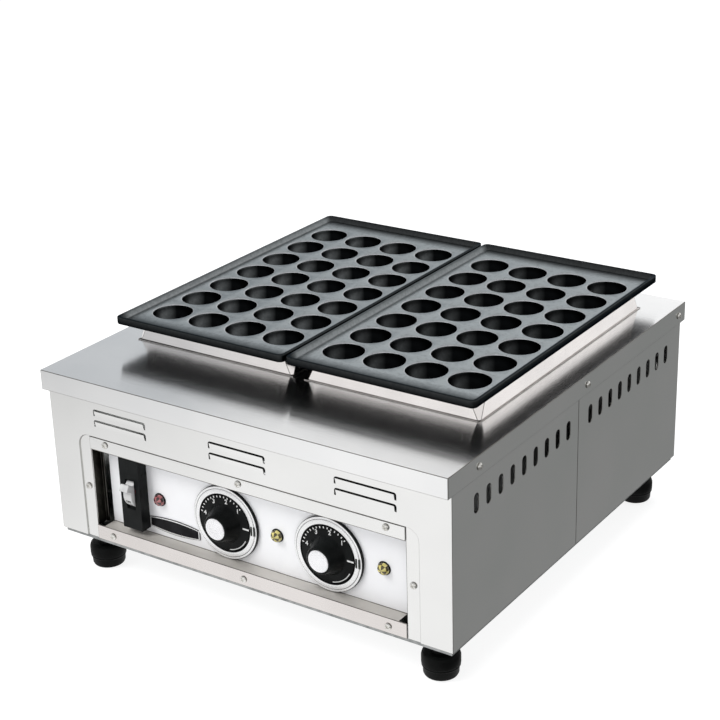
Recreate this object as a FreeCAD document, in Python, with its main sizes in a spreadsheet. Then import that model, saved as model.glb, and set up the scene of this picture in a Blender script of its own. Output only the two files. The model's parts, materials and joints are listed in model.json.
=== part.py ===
"""Two-pan electric takoyaki maker for a countertop, in millimetres.

The origin is on the worktop under the middle of the casing: +X right, +Y to the back, +Z up.
Every driving size is a cell of the sheet Sizes, and what follows from them is a property of Places.
"""
import FreeCAD, Part
import math
import os
import re

import Sketcher

doc = FreeCAD.newDocument("TakoyakiMaker")

SIZES = [
    # casing
    ("sheet", 1.2, "thickness of the steel sheet"),
    ("sheet_gap", 0.1, "gap between two sheets that nest"),
    ("side_space", 7.156, "shroud to the casing's sides"),
    ("back_space", 1.656, "shroud to the back flange of the casing"),
    ("body_bottom", 44.5, "lower edge of the shells above the worktop"),
    ("cover_overhang", 8, "cover past the casing at the front and back"),
    ("cover_skirt", 20, "height of the cover's skirt"),
    ("seam_y", 1, "back edge of the front shell"),
    ("lap_width", 14, "rear shell inside the front shell"),
    ("tray_drop", 4, "tray below the lower edge of the shells"),
    ("tray_wall", 14, "height of the tray's walls"),
    ("vent_length", 90, "length of a tray vent"),
    ("vent_pitch", 26, "from one tray vent to the next"),
    ("past", 5, "how far a cutting tool runs past what it cuts"),
    # louvres and slots
    ("louvre_width", 64, "louvre from end to end"),
    ("louvre_height", 7, "louvre from top to bottom"),
    ("louvre_inset", 86.7, "middle of the outer louvres from the casing's sides"),
    ("louvre_drop", 31.5, "top of the upper louvres below the cover's top"),
    ("louvre_step", 11, "from the upper to the lower louvre"),
    ("louvre_slit", 2, "slit above a louvre's flap"),
    ("louvre_push", 1.2, "flap pressed out of the casing"),
    ("louvre_corner", 2.6, "corner radius of a louvre"),
    ("louvre_side", 1.8, "gap at the ends of a flap"),
    ("shell_flange", 8, "flange of the shells under the cover"),
    ("slot_width", 7.6, "side slot across"),
    ("slot_height", 18.5, "side slot from top to bottom"),
    ("slot_gap", 19.8, "last front slot ahead of the seam"),
    ("slot_drop", 44, "middle of the side slots below the cover's top"),
    ("slot_inset", 40, "first front slot behind the casing's front"),
    ("slot_restart", 24.3, "first rear slot behind the seam"),
    # control panel and its seat
    ("seat_margin", 33, "casing beside the joggled seat"),
    ("seat_head", 12.5, "seat above the window"),
    ("seat_corner", 12, "corner radius of the seat"),
    ("seat_border", 13.5, "seat beside the window"),
    ("window_head", 73.5, "casing above the window"),
    ("window_foot", 13.5, "strip below the window"),
    ("panel_inset", 8.5, "ends of the panel's face inside the window"),
    ("recess_depth", 15, "panel face behind the casing's front"),
    ("bracket_depth", 13.5, "end brackets behind the casing's front"),
    ("bracket_lip", 3.2, "lip of an end bracket"),
    ("strip_gap", 0.4, "gap round the panel's strips in the seat"),
    # screws
    ("screw_radius", 1.9, "shank of the casing screws"),
    ("screw_head", 3.4, "radius of their heads"),
    ("head_crown", 2.4, "radius of a head at its top"),
    ("head_height", 2.2, "height of their heads"),
    ("screw_length", 8, "length of their shanks"),
    ("hole_gap", 0.2, "hole past its shank, all round"),
    ("panel_screw_inset", 19.5, "outer panel screws inside the window's ends"),
    ("top_screw_rise", 6.8, "upper panel screws above the window"),
    ("low_screw_rise", 6.8, "lower panel screws above the casing's lower edge"),
    ("side_screw_inset", 6.6, "strip screws inside the seat's sides"),
    ("side_screw_rise", 2.5, "strip screws above the dial axes"),
    ("cover_screw_drop", 10.5, "cover screws below the cover's top"),
    ("front_screw_inset", 43, "front cover screws behind the casing's front"),
    ("middle_screw_inset", 15, "middle cover screws behind the seam"),
    ("back_screw_inset", 8, "back cover screws ahead of the casing's back"),
    # pans
    ("cup_pitch", 45, "from one cup to the next"),
    ("cup_radius", 19.75, "radius of a cup"),
    ("cup_wall", 2, "wall of a cup"),
    ("pan_border_x", 33, "outer cup centres to the pan's sides"),
    ("pan_border_y", 48.3, "outer cup centres to the pan's front and back"),
    ("pan_gap", 3, "gap between the two pans"),
    ("pans_back", 33, "middle of the pans behind the casing's middle"),
    ("plate_thickness", 2.6, "pan plate"),
    ("rim_rise", 4.7, "rim above the plate"),
    ("rim_width", 3, "flat top of the rim"),
    ("rim_slope", 2.5, "slope of the rim's inner side"),
    ("pan_corner", 9, "corner radius of the pan"),
    # heater boxes
    ("collar_height", 23.2, "collar above the cover"),
    ("collar_lean", 1.2, "collar's top inside its foot"),
    ("collar_corner", 12, "corner facet at the collar's top"),
    ("collar_shift", 1.2, "collar's middle inside the pan's middle"),
    ("cup_gap", 0.35, "collar to the cups"),
    ("bead", 2.4, "bead of the box on the cover"),
    ("notch_width", 3, "notch at each fold of the collar"),
    ("notch_depth", 7, "depth of those notches"),
    ("notch_inset", 17, "notches from the corners"),
    ("box_depth", 60, "floor of a heater box below the cover's top"),
    ("opening_gap", 0.3, "cover opening past the heater box"),
    ("wool_side", 14, "insulation beside the boxes"),
    ("wool_under", 18, "insulation under the boxes"),
    ("shroud_sheet", 0.8, "sheet of the heater shroud"),
    ("shroud_flange", 8, "flange of the shroud under the cover"),
    ("reflector_sheet", 0.8, "sheet of the reflectors"),
    ("reflector_inset", 2, "reflector inside the box's walls"),
    ("reflector_lip", 10, "lip round a reflector"),
    # heater elements and sensing bulbs
    ("tube_radius", 4, "sheathed heater tube"),
    ("tube_drop", 12.8, "middle of the tube below the cover's top"),
    ("tube_bend_radius", 21.6, "bend of the tube between its runs"),
    ("tube_run", 107.5, "straight runs each way from the pan's middle"),
    ("cold_end", 24, "tube past the shroud's front"),
    ("pin_radius", 2, "terminal pin of an element"),
    ("pin_length", 9, "length of a terminal pin"),
    ("bush_radius", 8, "ceramic bush round a tube end"),
    ("bush_length", 9, "length of a ceramic bush"),
    ("bar_height", 2.5, "cross bar under the tubes"),
    ("bar_width", 12, "cross bar from front to back"),
    ("bar_reach", 78, "cross bar each way from the pan's middle"),
    ("bar_spacing", 85, "from one cross bar to the next"),
    ("bulb_radius", 3, "sensing bulb"),
    ("bulb_length", 80, "length of a sensing bulb"),
    ("bulb_drop", 5.5, "middle of a bulb below the cover's top"),
    ("capillary_radius", 1, "capillary tube"),
    ("capillary_fall", 53.2, "capillaries below the heater tubes"),
    # dials and thermostats
    ("dial_foot", 2, "bezels above the window's lower edge"),
    ("dial_spacing", 116, "from one dial axis to the other"),
    ("dial_inset", 81.5, "right dial axis from the panel's end"),
    ("dial_head", 8.5, "bezels below the window's upper edge"),
    ("bezel_radius", 37, "foot of a bezel"),
    ("bezel_face", 35.4, "outer edge of a bezel's face"),
    ("bezel_well", 29.4, "well of a bezel"),
    ("bezel_height", 4, "bezel off the panel"),
    ("bezel_floor", 1, "floor of the well"),
    ("disc_radius", 28.5, "disc of a dial"),
    ("disc_back", 1.6, "back of the disc off the panel"),
    ("disc_front", 4, "front of the disc off the panel"),
    ("knob_foot", 19, "knob where it meets the disc"),
    ("knob_end", 12.2, "front end of the knob"),
    ("knob_height", 18.4, "front end of the knob off the panel"),
    ("cap_radius", 10.8, "bright cap of a knob"),
    ("cap_sunk", 1.2, "cap in the knob"),
    ("cap_proud", 0.6, "cap past the knob"),
    ("spindle_radius", 3, "thermostat spindle"),
    ("spindle_inside", 14, "spindle behind the panel"),
    ("spindle_end", 14, "front end of the spindle off the panel"),
    ("spindle_gap", 0.08, "gap round a spindle"),
    ("thread_radius", 5, "threaded bush of a thermostat"),
    ("thread_end", 3.6, "front end of the threaded bush off the panel"),
    ("nut_radius", 8, "bush nut across its corners"),
    ("nut_height", 2.4, "height of the bush nut"),
    ("nut_room", 9.2, "hollow of the dial round the nut"),
    ("nut_room_top", 4.4, "top of that hollow off the panel"),
    ("thermostat_side", 36, "thermostat body, square"),
    ("thermostat_depth", 32, "thermostat body behind the panel"),
    # switch
    ("switch_inset", 35.3, "middle of the switch from the panel's end"),
    ("switch_foot", 7, "switch above the window's lower edge"),
    ("switch_width", 24, "switch across"),
    ("switch_head", 3.5, "switch below the window's upper edge"),
    ("switch_proud", 12, "switch off the panel"),
    ("switch_back_side", 1, "back of the switch narrower at each side"),
    ("switch_back_end", 7, "back of the switch shorter at each end"),
    ("switch_back_depth", 32, "switch behind the panel"),
    ("lever_width", 10, "lever across"),
    ("lever_hub", 15.5, "hub of the lever"),
    ("lever_set", 11, "lever axis behind the switch's face"),
    ("lever_reach", 22, "lever from its axis to its tip"),
    ("lever_root", 12, "start of the lever's tip from its axis"),
    ("lever_thickness", 7, "tip of the lever"),
    ("lever_angle", 28, "lever above the level line when it is on"),
    ("lever_gap", 0.3, "gap round the lever"),
    ("pivot_radius", 2, "pivot of the lever"),
    ("pivot_length", 2, "pivot past the hub at each side"),
    ("lever_well", 2.5, "well in the switch's face"),
    ("lever_well_height", 31, "that well from top to bottom"),
    # pilot lamps and name plate
    ("lamp_lift", 1.5, "lamps above the dial axes"),
    ("red_lamp_side", 26.7, "red lamp right of the switch"),
    ("lamp_radius", 6.8, "bezel of a lamp"),
    ("lamp_rim", 1.6, "bezel of a lamp off the panel"),
    ("lamp_barrel", 5, "barrel of a lamp"),
    ("lamp_length", 22, "barrel of a lamp behind the panel"),
    ("lens_radius", 4.6, "lens of a lamp"),
    ("lens_crown", 3.2, "flat end of a lens"),
    ("lens_height", 4.4, "lens off the lamp's bezel"),
    ("clip_radius", 8, "spring nut of a lamp"),
    ("clip_height", 3, "height of that nut"),
    ("plate_gap", 0.4, "name plate right of the switch"),
    ("plate_lift", 14.8, "middle of the name plate above the window's lower edge"),
    ("plate_clearance", 33.6, "name plate's end left of the dial axis"),
    ("plate_height", 15.5, "name plate from top to bottom"),
    ("plate_proud", 1, "thickness of the name plate"),
    # feet
    ("foot_side_inset", 30, "feet inside the casing's sides"),
    ("foot_end_inset", 29, "feet inside the casing's front and back"),
    ("foot_base", 15.5, "radius of a foot on the worktop"),
    ("foot_belly", 18, "radius of a foot at its belly"),
    ("foot_low", 4, "start of the belly"),
    ("foot_high", 19, "end of the belly"),
    ("foot_shoulder", 14.5, "radius of a foot at its shoulder"),
    ("foot_barrel", 25, "height of a foot's barrel"),
    ("foot_neck", 10, "neck of a foot"),
    ("bolt_radius", 4, "foot bolt"),
    ("bolt_foot", 12, "lower end of the bolt above the worktop"),
    ("bolt_above", 14, "bolt above the tray's underside"),
    ("washer_radius", 9, "washer under a nut"),
    ("washer_height", 1.6, "thickness of that washer"),
    ("foot_nut", 7.5, "foot nut across its corners"),
    ("foot_nut_height", 6.5, "height of a foot nut"),
    # back of the casing
    ("gland_inset", 75, "cable gland inside the casing's side"),
    ("gland_lift", 33.5, "cable gland above the casing's lower edge"),
    ("gland_flange", 12, "flange of the gland"),
    ("gland_flange_depth", 3, "thickness of that flange"),
    ("gland_nose", 9.5, "nose of the gland"),
    ("gland_reach", 7.4, "gland past the back panel"),
    ("gland_bore", 5.2, "bore of the gland"),
    ("gland_thread_radius", 8, "thread of the gland"),
    ("gland_inside", 14, "gland behind the back panel"),
    ("gland_nut", 13, "lock nut of the gland across its corners"),
    ("gland_nut_depth", 4, "height of the lock nut"),
    ("earth_inset", 39, "earth terminal inside the casing's side"),
    ("earth_lift", 23.5, "earth terminal above the casing's lower edge"),
    ("back_slot_x", 48, "first back slot from the middle"),
    ("low_back_inset", 95, "lower back screws inside the casing's sides"),
    ("low_back_rise", 5, "lower back screws above the casing's lower edge"),
    # terminal block and leads
    ("block_shift", 54, "left end of the terminal block from the gland"),
    ("block_inset", 76, "front of the terminal block from the casing's back"),
    ("block_width", 66, "terminal block across"),
    ("block_depth", 26, "terminal block from front to back"),
    ("block_height", 20, "height of the terminal block"),
    ("block_screw", 3.2, "terminal screws"),
    ("block_screw_height", 3, "height of their heads"),
    ("lead_radius", 1.5, "insulated lead"),
    ("lead_bend_radius", 5, "bend of a lead or capillary"),
    ("lead_pitch", 3.4, "from one lead to the next in the gland"),
    ("lead_lift", 10.3, "low leads above the tray's floor"),
    ("lead_low_fall", 38.2, "lower heater leads below the heater tubes"),
    ("lead_high_fall", 28.2, "upper heater leads below the heater tubes"),
    ("lead_fold_radius", 4, "bend of a supply lead"),
    ("gland_space", 28, "farthest supply lead behind the terminal block"),
    ("lead_stagger", 7, "from one supply lead to the next behind the block"),
    ("lead_spread", 8, "heater leads each way from a thermostat's middle"),
    ("switch_lead_run", 30, "switch leads behind the switch"),
]

COLUMNS, ROWS = 4, 7
SIDE_SLOTS, BACK_SLOTS, VENTS, POLE_COUNT = 9, 7, 7, 3

sheet = doc.addObject("Spreadsheet::Sheet", "Sizes")
for row, (alias, size, meaning) in enumerate(SIZES, start=1):
    sheet.set(f"A{row}", meaning)
    sheet.set(f"B{row}", str(size))
    sheet.setAlias(f"B{row}", alias)
doc.recompute()

PLACES = {
    "window_bottom": "body_bottom + window_foot",
    "dial_z": "window_bottom + dial_foot + bezel_radius",
    "window_top": "dial_z + bezel_radius + dial_head",
    "seat_top": "window_top + seat_head",
    "cover_top": "window_top + window_head",
    "lane_end": f"{(COLUMNS - 1) / 2} * cup_pitch",
    "row_end": f"{(ROWS - 1) / 2} * cup_pitch",
    "pan_half_x": "lane_end + pan_border_x",
    "pan_half_y": "row_end + pan_border_y",
    "pan_x": "pan_half_x + pan_gap / 2",
    "plate_under": "cover_top + collar_height",
    "plate_top": "plate_under + plate_thickness",
    "rim_top": "plate_top + rim_rise",
    "cup_reach": "sqrt((cup_radius + cup_wall) ^ 2 - plate_thickness ^ 2)",
    "collar_x": "pan_x - collar_shift",
    "collar_half_x": "lane_end + cup_reach + cup_gap + collar_shift + sheet + collar_lean",
    "collar_half_y": "row_end + cup_reach + cup_gap + sheet + collar_lean",
    "box_under": "cover_top - box_depth",
    "box_floor": "box_under + sheet",
    "box_front": "pans_back - collar_half_y",
    "box_back": "pans_back + collar_half_y",
    "wool_half_x": "collar_x + collar_half_x + wool_side",
    "wool_front": "box_front - wool_side",
    "wool_back": "box_back + wool_side",
    "wool_low": "box_under - wool_under",
    "shroud_half_x": "wool_half_x + shroud_sheet",
    "shroud_front": "wool_front - shroud_sheet",
    "shroud_back": "wool_back + shroud_sheet",
    "shroud_low": "wool_low - shroud_sheet",
    "inside": "shroud_half_x + shroud_flange + side_space",
    "half_width": "inside + sheet",
    "back": "shroud_back + shroud_flange + back_space + shell_flange + sheet",
    "front": "-back",
    "shell_top": "cover_top - sheet",
    "cover_under": "cover_top - sheet",
    "cover_half_width": "half_width + sheet + sheet_gap",
    "cover_half_depth": "back + cover_overhang",
    "cover_screw_z": "cover_top - cover_screw_drop",
    "cover_screw_front": "front + front_screw_inset",
    "cover_screw_middle": "seam_y + middle_screw_inset",
    "cover_screw_back": "back - back_screw_inset",
    "tray_under": "body_bottom - tray_drop",
    "tray_half_width": "inside - sheet - sheet_gap",
    "tray_half_depth": "back - 2 * sheet - sheet_gap",
    "tray_top": "tray_under + tray_wall",
    "tray_floor": "tray_under + sheet",
    "foot_x": "half_width - foot_side_inset",
    "foot_y": "back - foot_end_inset",
    "louvre_x": "half_width - louvre_inset",
    "slot_pitch": f"(seam_y - slot_gap - front - slot_inset) / {SIDE_SLOTS - 1}",
    "slot_z": "cover_top - slot_drop",
    "seat_half_width": "half_width - seat_margin",
    "window_half_width": "seat_half_width - seat_border",
    "panel_half_width": "window_half_width - panel_inset",
    "seat_face": "front + sheet",
    "backing_back": "front + 2 * sheet",
    "panel_face": "front + recess_depth",
    "panel_back": "panel_face + sheet",
    "panel_screw_x": "window_half_width - panel_screw_inset",
    "top_screw_z": "window_top + top_screw_rise",
    "low_screw_z": "body_bottom + low_screw_rise",
    "side_screw_x": "seat_half_width - side_screw_inset",
    "side_screw_z": "dial_z + side_screw_rise",
    "hole": "screw_radius + hole_gap",
    "lamp_z": "dial_z + lamp_lift",
    "dial_right_x": "panel_half_width - dial_inset",
    "dial_left_x": "dial_right_x - dial_spacing",
    "switch_x": "switch_inset - panel_half_width",
    "switch_z": "(window_bottom + switch_foot + window_top - switch_head) / 2",
    "switch_height": "window_top - switch_head - window_bottom - switch_foot",
    "switch_back_width": "switch_width - 2 * switch_back_side",
    "switch_back_height": "switch_height - 2 * switch_back_end",
    "switch_face": "panel_face - switch_proud",
    "lever_y": "switch_face + lever_set",
    "red_lamp_x": "switch_x + red_lamp_side",
    "plate_z": "window_bottom + plate_lift",
    "tube_z": "cover_top - tube_drop",
    "bulb_z": "cover_top - bulb_drop",
    "capillary_z": "tube_z - capillary_fall",
    "reflector_top": "box_floor + reflector_sheet",
    "gland_x": "half_width - gland_inset",
    "gland_z": "body_bottom + gland_lift",
    "earth_x": "half_width - earth_inset",
    "earth_z": "body_bottom + earth_lift",
    "back_screw_x": "half_width - low_back_inset",
    "back_screw_z": "body_bottom + low_back_rise",
    "block_x": "gland_x - block_shift",
    "block_y": "back - block_inset",
    "lead_z": "tray_floor + lead_lift",
}

places = doc.addObject("App::VarSet", "Places")
ALIASES = {alias: "Sizes." + alias for alias, size, meaning in SIZES}


def named(text):
    """The expression with each alias under the object that holds it."""
    return re.sub(r"[a-z][a-z_]*", lambda word: ALIASES.get(word.group(), word.group()), str(text))


for place_name, place_text in PLACES.items():
    places.addProperty("App::PropertyFloat", place_name)
    places.setExpression(place_name, named(place_text))
    ALIASES[place_name] = "Places." + place_name
doc.recompute()

ruler = doc.addObject("App::VarSet", "Ruler")
ruler.addProperty("App::PropertyFloat", "reading")


def measure(text):
    """The number that an expression comes to now."""
    ruler.setExpression("reading", named(text))
    ruler.recompute()
    return ruler.reading


# ---------------------------------------------------------------- building tools

ALONG = {
    "X": FreeCAD.Rotation(FreeCAD.Vector(0, 1, 0), 90),
    "-X": FreeCAD.Rotation(FreeCAD.Vector(0, 1, 0), -90),
    "Y": FreeCAD.Rotation(FreeCAD.Vector(1, 0, 0), -90),
    "-Y": FreeCAD.Rotation(FreeCAD.Vector(1, 0, 0), 90),
    "Z": FreeCAD.Rotation(),
    "-Z": FreeCAD.Rotation(FreeCAD.Vector(1, 0, 0), 180),
}
STEP = {"X": (1, 0, 0), "-X": (-1, 0, 0), "Y": (0, 1, 0), "-Y": (0, -1, 0), "Z": (0, 0, 1), "-Z": (0, 0, -1)}
nodes = []


def put(thing, spot, turn=None):
    if turn is not None:
        thing.Placement = FreeCAD.Placement(FreeCAD.Vector(), turn)
    for axis, text in zip("xyz", spot):
        thing.setExpression("Placement.Base." + axis, named(text))
    return thing


def shifted(spot, way, length):
    """A spot moved along one of the six ways."""
    return tuple(
        text if step == 0 else f"({text}) + ({length})" if step > 0 else f"({text}) - ({length})"
        for text, step in zip(spot, STEP[way])
    )


def box(name, low, high):
    thing = doc.addObject("Part::Box", name)
    for side, start, end in zip(("Length", "Width", "Height"), low, high):
        thing.setExpression(side, named(f"({end}) - ({start})"))
    return put(thing, low)


def rod(name, start, way, length, radius):
    thing = doc.addObject("Part::Cylinder", name)
    thing.setExpression("Radius", named(radius))
    thing.setExpression("Height", named(length))
    return put(thing, start, ALONG[way])


def cone(name, start, way, length, radius, end_radius):
    thing = doc.addObject("Part::Cone", name)
    thing.setExpression("Radius1", named(radius))
    thing.setExpression("Radius2", named(end_radius))
    thing.setExpression("Height", named(length))
    return put(thing, start, ALONG[way])


def hexagon(name, start, way, length, radius):
    thing = doc.addObject("Part::Prism", name)
    thing.Polygon = 6
    thing.setExpression("Circumradius", named(radius))
    thing.setExpression("Height", named(length))
    return put(thing, start, ALONG[way])


def ball(name, centre, radius):
    thing = doc.addObject("Part::Sphere", name)
    thing.setExpression("Radius", named(radius))
    return put(thing, centre)


def frustum(name, low, high, bottom, top):
    """A slanted block between two rectangles (x low, x high, y low, y high)."""
    thing = doc.addObject("Part::Wedge", name)
    cells = {
        "Xmin": bottom[0], "Xmax": bottom[1], "Zmin": f"-({bottom[3]})", "Zmax": f"-({bottom[2]})",
        "X2min": top[0], "X2max": top[1], "Z2min": f"-({top[3]})", "Z2max": f"-({top[2]})",
        "Ymin": "0", "Ymax": f"({high}) - ({low})",
    }
    for cell, text in cells.items():
        thing.setExpression(cell, named(text))
    return put(thing, ("0", "0", low), ALONG["-Y"])


def fuse(name, *things):
    thing = doc.addObject("Part::MultiFuse", name)
    thing.Shapes = list(things)
    thing.Refine = True
    return thing


def cut(name, base, *tools):
    thing = doc.addObject("Part::Cut", name)
    thing.Base = base
    thing.Tool = tools[0] if len(tools) == 1 else fuse(name + "_tools", *tools)
    thing.Refine = True
    return thing


def group(name, things):
    thing = doc.addObject("Part::Compound", name)
    thing.Links = list(things)
    return thing


def node(label, thing):
    thing.Label = label
    nodes.append(thing)
    return thing


def arch(name, x_low, x_high, y_low, y_high, z_low, z_high, radius):
    """A block along Y with its two upper corners rounded."""
    depth = f"({y_high}) - ({y_low})"
    crown = f"({z_high}) - ({radius})"
    inner_low = f"({x_low}) + ({radius})"
    inner_high = f"({x_high}) - ({radius})"
    return fuse(
        name,
        box(name + "_tall", (inner_low, y_low, z_low), (inner_high, y_high, z_high)),
        box(name + "_wide", (x_low, y_low, z_low), (x_high, y_high, crown)),
        rod(name + "_left", (inner_low, y_low, crown), "Y", depth, radius),
        rod(name + "_right", (inner_high, y_low, crown), "Y", depth, radius),
    )


def slot(name, middle, way, length, width, height):
    """An upright slot with round ends, cut along X or Y from its middle point."""
    across = {"X": "Y", "Y": "X"}[way]
    straight = f"(({height}) - ({width})) / 2"
    low = shifted(shifted(middle, "-" + across, f"({width}) / 2"), "-Z", straight)
    high = shifted(shifted(shifted(middle, across, f"({width}) / 2"), "Z", straight), way, length)
    return fuse(
        name,
        box(name + "_block", low, high),
        rod(name + "_top", shifted(middle, "Z", straight), way, length, f"({width}) / 2"),
        rod(name + "_foot", shifted(middle, "-Z", straight), way, length, f"({width}) / 2"),
    )


def round_slab(name, low, high, radius):
    """A flat slab whose four upright corners are rounded."""
    tall = f"({high[2]}) - ({low[2]})"
    x_low, x_high = f"({low[0]}) + ({radius})", f"({high[0]}) - ({radius})"
    y_low, y_high = f"({low[1]}) + ({radius})", f"({high[1]}) - ({radius})"
    corners = [
        rod(f"{name}_corner_{count}", (x, y, low[2]), "Z", tall, radius)
        for count, (x, y) in enumerate([(x_low, y_low), (x_high, y_low), (x_low, y_high), (x_high, y_high)])
    ]
    return fuse(
        name,
        box(name + "_long", (x_low, low[1], low[2]), (x_high, high[1], high[2])),
        box(name + "_wide", (low[0], y_low, low[2]), (high[0], y_high, high[2])),
        *corners,
    )


def screw(name, spot, way):
    """A pan-head screw whose head sits on the spot and points the way it is driven from."""
    return fuse(
        name,
        cone(name + "_head", spot, way, "head_height", "screw_head", "head_crown"),
        rod(
            name + "_shank", shifted(spot, OPPOSITE[way], "screw_length"),
            way, "screw_length", "screw_radius",
        ),
    )


OPPOSITE = {"X": "-X", "-X": "X", "Y": "-Y", "-Y": "Y", "Z": "-Z", "-Z": "Z"}


def origin_plane(body, role):
    return next(plane for plane in body.Origin.OriginFeatures if plane.Role == role)


def profile(body, role, points, lift="0"):
    """A closed sketch of straight lines through points given as pairs of expressions."""
    sketch = body.newObject("Sketcher::SketchObject", body.Name + "_profile")
    sketch.AttachmentSupport = [(origin_plane(body, role), "")]
    sketch.MapMode = "FlatFace"
    sketch.setExpression("AttachmentOffset.Base.z", named(lift))
    corners = [FreeCAD.Vector(measure(x), measure(y), 0) for x, y in points]
    for start, end in zip(corners, corners[1:] + corners[:1]):
        sketch.addGeometry(Part.LineSegment(start, end), False)
    count = len(corners)
    for line in range(count):
        sketch.addConstraint(Sketcher.Constraint("Coincident", line, 2, (line + 1) % count, 1))
    for line, (x, y) in enumerate(points):
        for kind, text, axis in (("DistanceX", x, -2), ("DistanceY", y, -1)):
            if text == "0":
                sketch.addConstraint(Sketcher.Constraint("PointOnObject", line, 1, axis))
                continue
            index = sketch.addConstraint(Sketcher.Constraint(kind, -1, 1, line, 1, measure(text)))
            sketch.setExpression(f"Constraints[{index}]", named(text))
    return sketch


def turned(name, spot, way, points):
    """A turned piece: its profile is (radius, height along the way it points)."""
    body = doc.addObject("PartDesign::Body", name)
    sketch = profile(body, "XZ_Plane", points)
    turn = body.newObject("PartDesign::Revolution", name + "_turn")
    turn.Profile = sketch
    turn.ReferenceAxis = (sketch, ["V_Axis"])
    turn.Angle = 360
    body.Tip = turn
    return put(body, spot, ALONG[way])


def milled(name, x_low, x_high, points):
    """A piece of one section: its profile is (y, z) and it runs along X."""
    body = doc.addObject("PartDesign::Body", name)
    sketch = profile(body, "XY_Plane", points)
    pad = body.newObject("PartDesign::Pad", name + "_pad")
    pad.Profile = sketch
    pad.setExpression("Length", named(f"({x_high}) - ({x_low})"))
    body.Tip = pad
    return put(body, (x_low, "0", "0"), FreeCAD.Rotation(FreeCAD.Vector(1, 1, 1), 120))


def lofted(name, low, high, bottom, top):
    """A solid between two outlines, each drawn with straight lines."""
    body = doc.addObject("PartDesign::Body", name)
    loft = body.newObject("PartDesign::AdditiveLoft", name + "_loft")
    loft.Profile = profile(body, "XY_Plane", bottom, low)
    loft.Sections = [profile(body, "XY_Plane", top, high)]
    loft.Ruled = True
    body.Tip = loft
    return body


def cut_corners(x, y, half_x, half_y, corner):
    """The outline of a rectangle round a middle, with its four corners cut off."""
    x_low, x_high = f"({x}) - ({half_x})", f"({x}) + ({half_x})"
    y_low, y_high = f"({y}) - ({half_y})", f"({y}) + ({half_y})"
    return [
        (f"{x_low} + ({corner})", y_low), (f"{x_high} - ({corner})", y_low),
        (x_high, f"{y_low} + ({corner})"), (x_high, f"{y_high} - ({corner})"),
        (f"{x_high} - ({corner})", y_high), (f"{x_low} + ({corner})", y_high),
        (x_low, f"{y_high} - ({corner})"), (x_low, f"{y_low} + ({corner})"),
    ]


def rounded_path(points, bend):
    """Straight runs through the points, joined by arcs that touch both runs."""
    edges = []
    start = points[0]
    for before, corner, after in zip(points, points[1:], points[2:]):
        into = (corner - before).normalize()
        out = (after - corner).normalize()
        half_turn = into.getAngle(out) / 2
        reach = bend * math.tan(half_turn)
        first = corner - into * reach
        last = corner + out * reach
        inward = (out - into).normalize()
        middle = corner + inward * (bend / math.cos(half_turn) - bend)
        edges.append(Part.LineSegment(start, first).toShape())
        edges.append(Part.Arc(first, middle, last).toShape())
        start = last
    edges.append(Part.LineSegment(start, points[-1]).toShape())
    return Part.Wire(edges)


def tube(name, spots, radius, bend):
    """A round bar bent through the spots."""
    points = [FreeCAD.Vector(*(measure(text) for text in spot)) for spot in spots]
    ring = Part.Wire(Part.makeCircle(measure(radius), points[0], points[1] - points[0]))
    thing = doc.addObject("Part::Feature", name)
    thing.Shape = rounded_path(points, measure(bend)).makePipeShell([ring], True, False)
    return thing


SIDES = (("left", -1), ("right", 1))

# ---------------------------------------------------------------- casing shells

front_sheet = box(
    "front_sheet", ("-half_width", "front", "body_bottom"), ("half_width", "front + sheet", "shell_top")
)
front_sides = [
    box(
        f"front_side_{side}",
        ("-half_width" if sign < 0 else "inside", "front", "body_bottom"),
        ("-inside" if sign < 0 else "half_width", "seam_y", "shell_top"),
    )
    for side, sign in SIDES
]
front_flange = box(
    "front_flange",
    ("-inside", "front", "shell_top - sheet"),
    ("inside", "front + sheet + shell_flange", "shell_top"),
)
seat_hole = arch(
    "seat_hole", "-seat_half_width", "seat_half_width", "front - past", "front + sheet",
    "body_bottom - past", "seat_top", "seat_corner",
)
seat_sheet = arch(
    "seat_sheet", "-seat_half_width - sheet", "seat_half_width + sheet", "seat_face", "backing_back",
    "body_bottom", "seat_top + sheet", "seat_corner + sheet",
)
window = box(
    "window",
    ("-window_half_width", "front - past", "window_bottom"),
    ("window_half_width", "front + past", "window_top"),
)
louvre_holes = []
louvre_flaps = []
for column in (-1, 0, 1):
    for row in (0, 1):
        middle = f"{column} * louvre_x"
        top = f"cover_top - louvre_drop - {row} * louvre_step"
        foot = f"{top} - louvre_height"
        tag = f"{column + 2}_{row + 1}"
        louvre_holes.append(arch(
            f"louvre_hole_{tag}", f"{middle} - louvre_width / 2", f"{middle} + louvre_width / 2",
            "front - past", "front + past", foot, top, "louvre_corner",
        ))
        louvre_flaps.append(milled(
            f"louvre_flap_{tag}",
            f"{middle} - louvre_width / 2 + louvre_side",
            f"{middle} + louvre_width / 2 - louvre_side",
            [
                ("front", foot),
                ("front - louvre_push", f"{top} - louvre_slit"),
                ("front - louvre_push + sheet", f"{top} - louvre_slit"),
                ("front + sheet", foot),
            ],
        ))
PANEL_SCREWS = [
    (f"{column} * panel_screw_x", height)
    for column in (-1, 0, 1)
    for height in ("top_screw_z", "low_screw_z")
]
STRIP_SCREWS = [(f"{sign} * side_screw_x", "side_screw_z") for side, sign in SIDES]
front_holes = [
    rod(f"front_hole_{count}", (x, "front - past", z), "Y", "4 * past", "hole")
    for count, (x, z) in enumerate(PANEL_SCREWS + STRIP_SCREWS)
]
COVER_SCREWS = ("cover_screw_front", "cover_screw_middle", "cover_screw_back")


def side_to_side(name, y, z, radius):
    """A round hole through both sides of the casing."""
    return rod(name, ("-cover_half_width - past", y, z), "X", "2 * cover_half_width + 2 * past", radius)


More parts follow.
